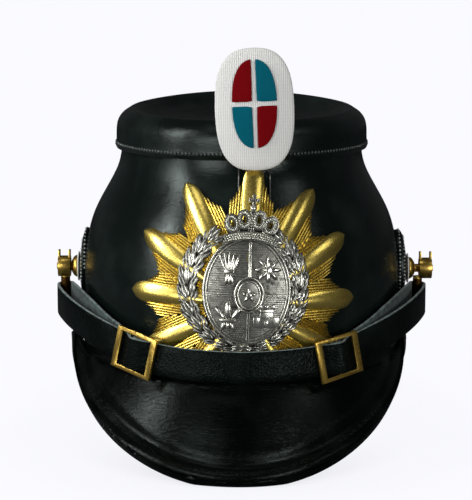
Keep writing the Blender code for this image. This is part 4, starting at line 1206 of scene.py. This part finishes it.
# Middle, half width, half height and lean of the lobes on each side.
CROWN_LOBES = ((3.5, 1.9, 2.3, 3.2, 0.10), (9.0, -0.3, 2.3, 3.1, 0.45))
LOBE_BAND = 1.15  # half the width of a lobe's beaded band
HOOP_HALF_WIDTH = 13
HOOP_EDGES = ((-6.9, 0.45), (-3.5, 0.40))  # height and radius
HOOP_BEADS = (-6.1, -5.2, -4.3)
PEARL_PITCH = 1.12
CROSS_MIDDLE = (0.5, 11.0)
ARMS_CROWN_RELIEF = (2.2 * MM, 1.0 * MM)


def bowed(x, y, z):
    """A point of the small crown, which dips and bulges with its distance to one side."""
    return Vector((x, y - 0.014 * x * x, z + 0.9 * math.cos(x * 0.11)))


def dipped(x, y, z):
    return Vector((x, y - 0.014 * x * x, z))


def lobe_point(lobe, way, a, out=0.0, lift=0.0):
    x, y, wide, high, lean = lobe
    flat = Matrix.Rotation(-way * lean, 2) @ Vector(((wide + out) * math.sin(a),
                                                     (high + out) * math.cos(a)))
    return Vector((way * x + flat.x, y + flat.y, 1.5 + 0.8 * math.cos(flat.x / wide) + lift))


def crown_lobe(lobe, way):
    """One beaded lobe's band and its two edges."""
    parts = [bent_grid("band", 4, 28, lambda u, v: lobe_point(
        lobe, way, -2 * math.pi * v, u * LOBE_BAND) * MM, 1.2 * MM, closed=True)]
    for out in (-LOBE_BAND, LOBE_BAND):
        edge = [lobe_point(lobe, way, turn, out, 0.2) * MM for turn in turns(28)]
        parts.append(tube("edge", edge, 0.30 * MM, closed=True))
    return parts


def make_arms_crown():
    """A closed crown: a hoop and four bands, all beaded between thin edges, an orb, a cross."""
    parts = [tube("edge", [bowed(x, rise, 1.3) * MM
                           for x in range(-HOOP_HALF_WIDTH, HOOP_HALF_WIDTH + 1)], radius * MM)
             for rise, radius in HOOP_EDGES]
    parts.append(bent_grid("hoop", 4, 26, lambda u, v: bowed(
        HOOP_HALF_WIDTH * (2 * v - 1), -5.2 - 1.7 * u, 0.9) * MM, 1.0 * MM))
    spots = [bowed(PEARL_PITCH * (i + 0.5 * (k % 2)), rise, 1.1)
             for k, rise in enumerate(HOOP_BEADS) for i in range(-11, 12)]
    for lobe in CROWN_LOBES:
        for way in (-1, 1):
            parts += crown_lobe(lobe, way)
            spots += [lobe_point(lobe, way, turn, 0.0, 0.25) for turn in turns(18)]
    spots += [dipped(x, y, 1.5) for y in (-2.9, -1.8, -0.7)
              for x in (-6.6, -5.5, -1.2, 0.0, 1.2, 5.5, 6.6)]
    spots += [dipped(0.1, y, 1.9) for y in (0.5, 1.7, 2.9, 4.1)]
    parts.append(bent_grid("ground", 8, 8, lambda u, v: dipped(
        u * 11.0, -3.6 + 4.2 * v * (1 - 0.6 * u * u), 0.9) * MM, 0.7 * MM))
    parts.append(repeated(ball("pearl", 0.52 * MM), "pearls",
                          [Matrix.Translation(spot * MM) for spot in spots]))
    parts.append(baked(ball("orb", 1.7 * MM, 16, 10, location=(0.4 * MM, 7.4 * MM, 2.0 * MM))))
    x, y = CROSS_MIDDLE
    parts += [slab("neck", 0.3, 5.4, 2.2, 2.0, 2.6), slab("upright", x, 10.9, 1.5, 4.4, 2.6),
              slab("arm", x, y, 4.4, 1.5, 2.6), slab("end", x - 2.0, y, 1.0, 1.9, 2.9),
              slab("end", x + 2.0, y, 1.0, 1.9, 2.9), slab("end", x, y + 2.0, 1.9, 1.0, 2.9)]
    crown = laid(joined("crown_of_arms", parts), ARMS_CROWN_SPOT, ARMS_CROWN_BASE,
                 *ARMS_CROWN_RELIEF)
    finished(shaded(crown, 50), "silvered", "silver", "arms_crown")


# ---------------- cockade


def make_cockade():
    """The ribbed white oval, its four coloured quarters, and its wire."""
    white = rounded(creased("cockade", "cockade_cloth", 70, 0.25), 2)
    finished(shaded(white, 70), "white_cloth", "white cloth", "cockade")
    for tint, level in (("red", "upper"), ("red", "lower"), ("blue", "upper"),
                        ("blue", "lower")):
        name = f"field_{tint}_{level}"
        quarter = rounded(creased(name, f"{name}_cloth", 60, 0.8), 2)
        finished(shaded(quarter, 60), f"{tint}_cloth", f"{tint} cloth", name)
    wire = rounded(copied("cockade_wire", "wire_legs"), 1)
    finished(shaded(wire, 60), "steel_wire", "wire", "cockade_wire")


# ---------------- stage


FLOOR_RADIUS = 9.0
FLOOR_BOUNCE = (0.14, 0.14, 0.15, 1.0)  # what the floor throws back on the hat
FLOOR_SHADE = (0.02, 0.02, 0.02, 1.0)  # its colour to the camera, under its own glow
CONTACT_REACH = 0.09
CONTACT_SHADE = 0.80
STUDIO_GLOW = 0.05
LIGHT_AIM = Vector((0.0, -0.02, 0.1))
LIGHTS = (
    # name, azimuth and elevation in degrees, distance, width, height, share of the power
    ("left", -74, 29, 1.3, 0.20, 0.60, 0.56),
    ("left_low", -70, 6, 1.3, 0.20, 0.36, 0.13),
    ("upper_left", -54, 43, 1.3, 0.45, 0.40, 0.02),
    ("right", 62, 44, 1.3, 0.3, 0.4, 0.07),
    ("front_left", -34, 8, 1.6, 0.8, 0.6, 0.68),
    ("front_right", 32, 6, 1.6, 0.6, 0.4, 0.62),
    ("over", -35, 72, 1.3, 0.4, 0.4, 0.07),
)
CAMERA_PLACE = (CROWN_MIDDLE.x - 3.1 * MM, -0.998, 0.2325)
CAMERA_PITCH = math.radians(90 - 7.58)


def make_floor():
    """A pale floor that glows to the camera alone, with a painted shadow under the hat."""
    backdrop = bpy.context.scene.shako_stage.backdrop
    floor = added(bpy.ops.mesh.primitive_circle_add, "floor", vertices=96, radius=FLOOR_RADIUS,
                  fill_type="NGON")
    tree, shader = new_material("pale floor", backdrop, 0.9)
    shader.inputs["Specular IOR Level"].default_value = 0.0
    seen = node(tree, "LightPath").outputs["Is Camera Ray"]
    tree.links.new(seen, shader.inputs["Emission Strength"])
    # A painted contact shadow, darkening the floor's glow near the hat.
    near = node(tree, "AmbientOcclusion", {"Distance": CONTACT_REACH}).outputs["AO"]
    shade = (*(CONTACT_SHADE * part for part in backdrop), 1.0)
    tree.links.new(mix_colour(tree, near, shade, (*backdrop, 1.0)),
                   shader.inputs["Emission Color"])
    tree.links.new(mix_colour(tree, seen, FLOOR_BOUNCE, FLOOR_SHADE),
                   shader.inputs["Base Color"])
    floor.data.materials.append(bpy.data.materials["pale floor"])


def make_lights():
    """Soft lights round and over the hat, and a studio that the camera sees as pale."""
    stage = bpy.context.scene.shako_stage
    for name, azimuth, elevation, distance, width, height, share in LIGHTS:
        light = bpy.data.lights.new(name, "AREA")
        light.shape = "RECTANGLE"
        light.size, light.size_y = width, height
        light.energy = stage.key_power * share
        lamp = put(name, light)
        a, e = math.radians(azimuth), math.radians(elevation)
        out = Vector((math.sin(a) * math.cos(e), -math.cos(a) * math.cos(e), math.sin(e)))
        lamp.location = LIGHT_AIM + out * distance
        lamp.rotation_euler = out.to_track_quat("Z", "Y").to_euler()
    world = bpy.data.worlds.new("studio")
    bpy.context.scene.world = world
    world.use_nodes = True
    tree = world.node_tree
    background = tree.nodes["Background"].inputs
    seen = node(tree, "LightPath").outputs["Is Camera Ray"]
    background["Color"].default_value = (*stage.backdrop, 1.0)
    tree.links.new(spread(tree, seen, 0.0, 1.0, STUDIO_GLOW, 1.0), background["Strength"])


def make_camera():
    scene = bpy.context.scene
    camera = put("camera", bpy.data.cameras.new("camera"))
    camera.location = CAMERA_PLACE
    camera.rotation_euler = (CAMERA_PITCH, 0.0, 0.0)
    camera.data.lens = scene.shako_stage.lens
    camera.data.sensor_width = 36.0
    scene.camera = camera
    scene.view_settings.view_transform = "Standard"


# ---------------- operators and panel


class ShakoOperator:
    """Runs an operator's steps, in order."""

    bl_options = {"REGISTER", "UNDO"}
    steps = ()

    def execute(self, context):
        for step in self.steps:
            step()
        return {"FINISHED"}


class SHAKO_OT_materials(ShakoOperator, bpy.types.Operator):
    """Makes the finishes that the other pieces use"""
    bl_idname = "shako.materials"
    bl_label = "Finishes"
    steps = (make_materials,)


class SHAKO_OT_stage(ShakoOperator, bpy.types.Operator):
    """Adds the floor, lights and camera"""
    bl_idname = "shako.stage"
    bl_label = "Stage"
    steps = (make_floor, make_lights, make_camera)


class SHAKO_OT_crown(ShakoOperator, bpy.types.Operator):
    """Adds the crown's and top's leather and the stitches of the lip"""
    bl_idname = "shako.crown"
    bl_label = "Crown"
    steps = (make_crown,)


class SHAKO_OT_peaks(ShakoOperator, bpy.types.Operator):
    """Adds the leather of both peaks"""
    bl_idname = "shako.peaks"
    bl_label = "Peaks"
    steps = (make_peaks,)


class SHAKO_OT_strap(ShakoOperator, bpy.types.Operator):
    """Adds the chin strap and its buckles"""
    bl_idname = "shako.strap"
    bl_label = "Chin strap"
    steps = (make_strap, make_buckles)


class SHAKO_OT_side_fittings(ShakoOperator, bpy.types.Operator):
    """Adds the bosses, discs, cones and drums at the sides"""
    bl_idname = "shako.side_fittings"
    bl_label = "Side fittings"
    steps = (make_side_fittings,)


class SHAKO_OT_plate(ShakoOperator, bpy.types.Operator):
    """Adds the star plate"""
    bl_idname = "shako.plate"
    bl_label = "Star plate"
    steps = (make_plate,)


class SHAKO_OT_ornaments(ShakoOperator, bpy.types.Operator):
    """Adds the wreath, the shield and the small crown"""
    bl_idname = "shako.ornaments"
    bl_label = "Silver ornaments"
    steps = (make_wreath, make_shield, make_arms_crown)


class SHAKO_OT_cockade(ShakoOperator, bpy.types.Operator):
    """Adds the cockade and its wire"""
    bl_idname = "shako.cockade"
    bl_label = "Cockade"
    steps = (make_cockade,)


OPERATORS = (SHAKO_OT_materials, SHAKO_OT_stage, SHAKO_OT_crown, SHAKO_OT_peaks,
             SHAKO_OT_strap, SHAKO_OT_side_fittings, SHAKO_OT_plate, SHAKO_OT_ornaments,
             SHAKO_OT_cockade)
SETTINGS = {"shako_leather": ShakoLeather, "shako_metal": ShakoMetal,
            "shako_plate": ShakoPlate, "shako_cockade": ShakoCockade,
            "shako_stage": ShakoStage}


class SHAKO_PT_pieces(bpy.types.Panel):
    """The shako's pieces and settings"""
    bl_label = "Shako"
    bl_space_type = "VIEW_3D"
    bl_region_type = "UI"
    bl_category = "Shako"

    def draw(self, context):
        for operator in OPERATORS:
            self.layout.operator(operator.bl_idname)
        for name, settings in SETTINGS.items():
            box = self.layout.box()
            for label in settings.__annotations__:
                box.prop(getattr(context.scene, name), label)


def register():
    for kind in (*SETTINGS.values(), *OPERATORS, SHAKO_PT_pieces):
        bpy.utils.register_class(kind)
    for name, settings in SETTINGS.items():
        setattr(bpy.types.Scene, name, bpy.props.PointerProperty(type=settings))


def unregister():
    for name in SETTINGS:
        delattr(bpy.types.Scene, name)
    for kind in (SHAKO_PT_pieces, *OPERATORS, *SETTINGS.values()):
        bpy.utils.unregister_class(kind)


def main():
    register()
    for operator in OPERATORS:
        group, name = operator.bl_idname.split(".")
        getattr(getattr(bpy.ops, group), name)()


if __name__ == "__main__":
    main()
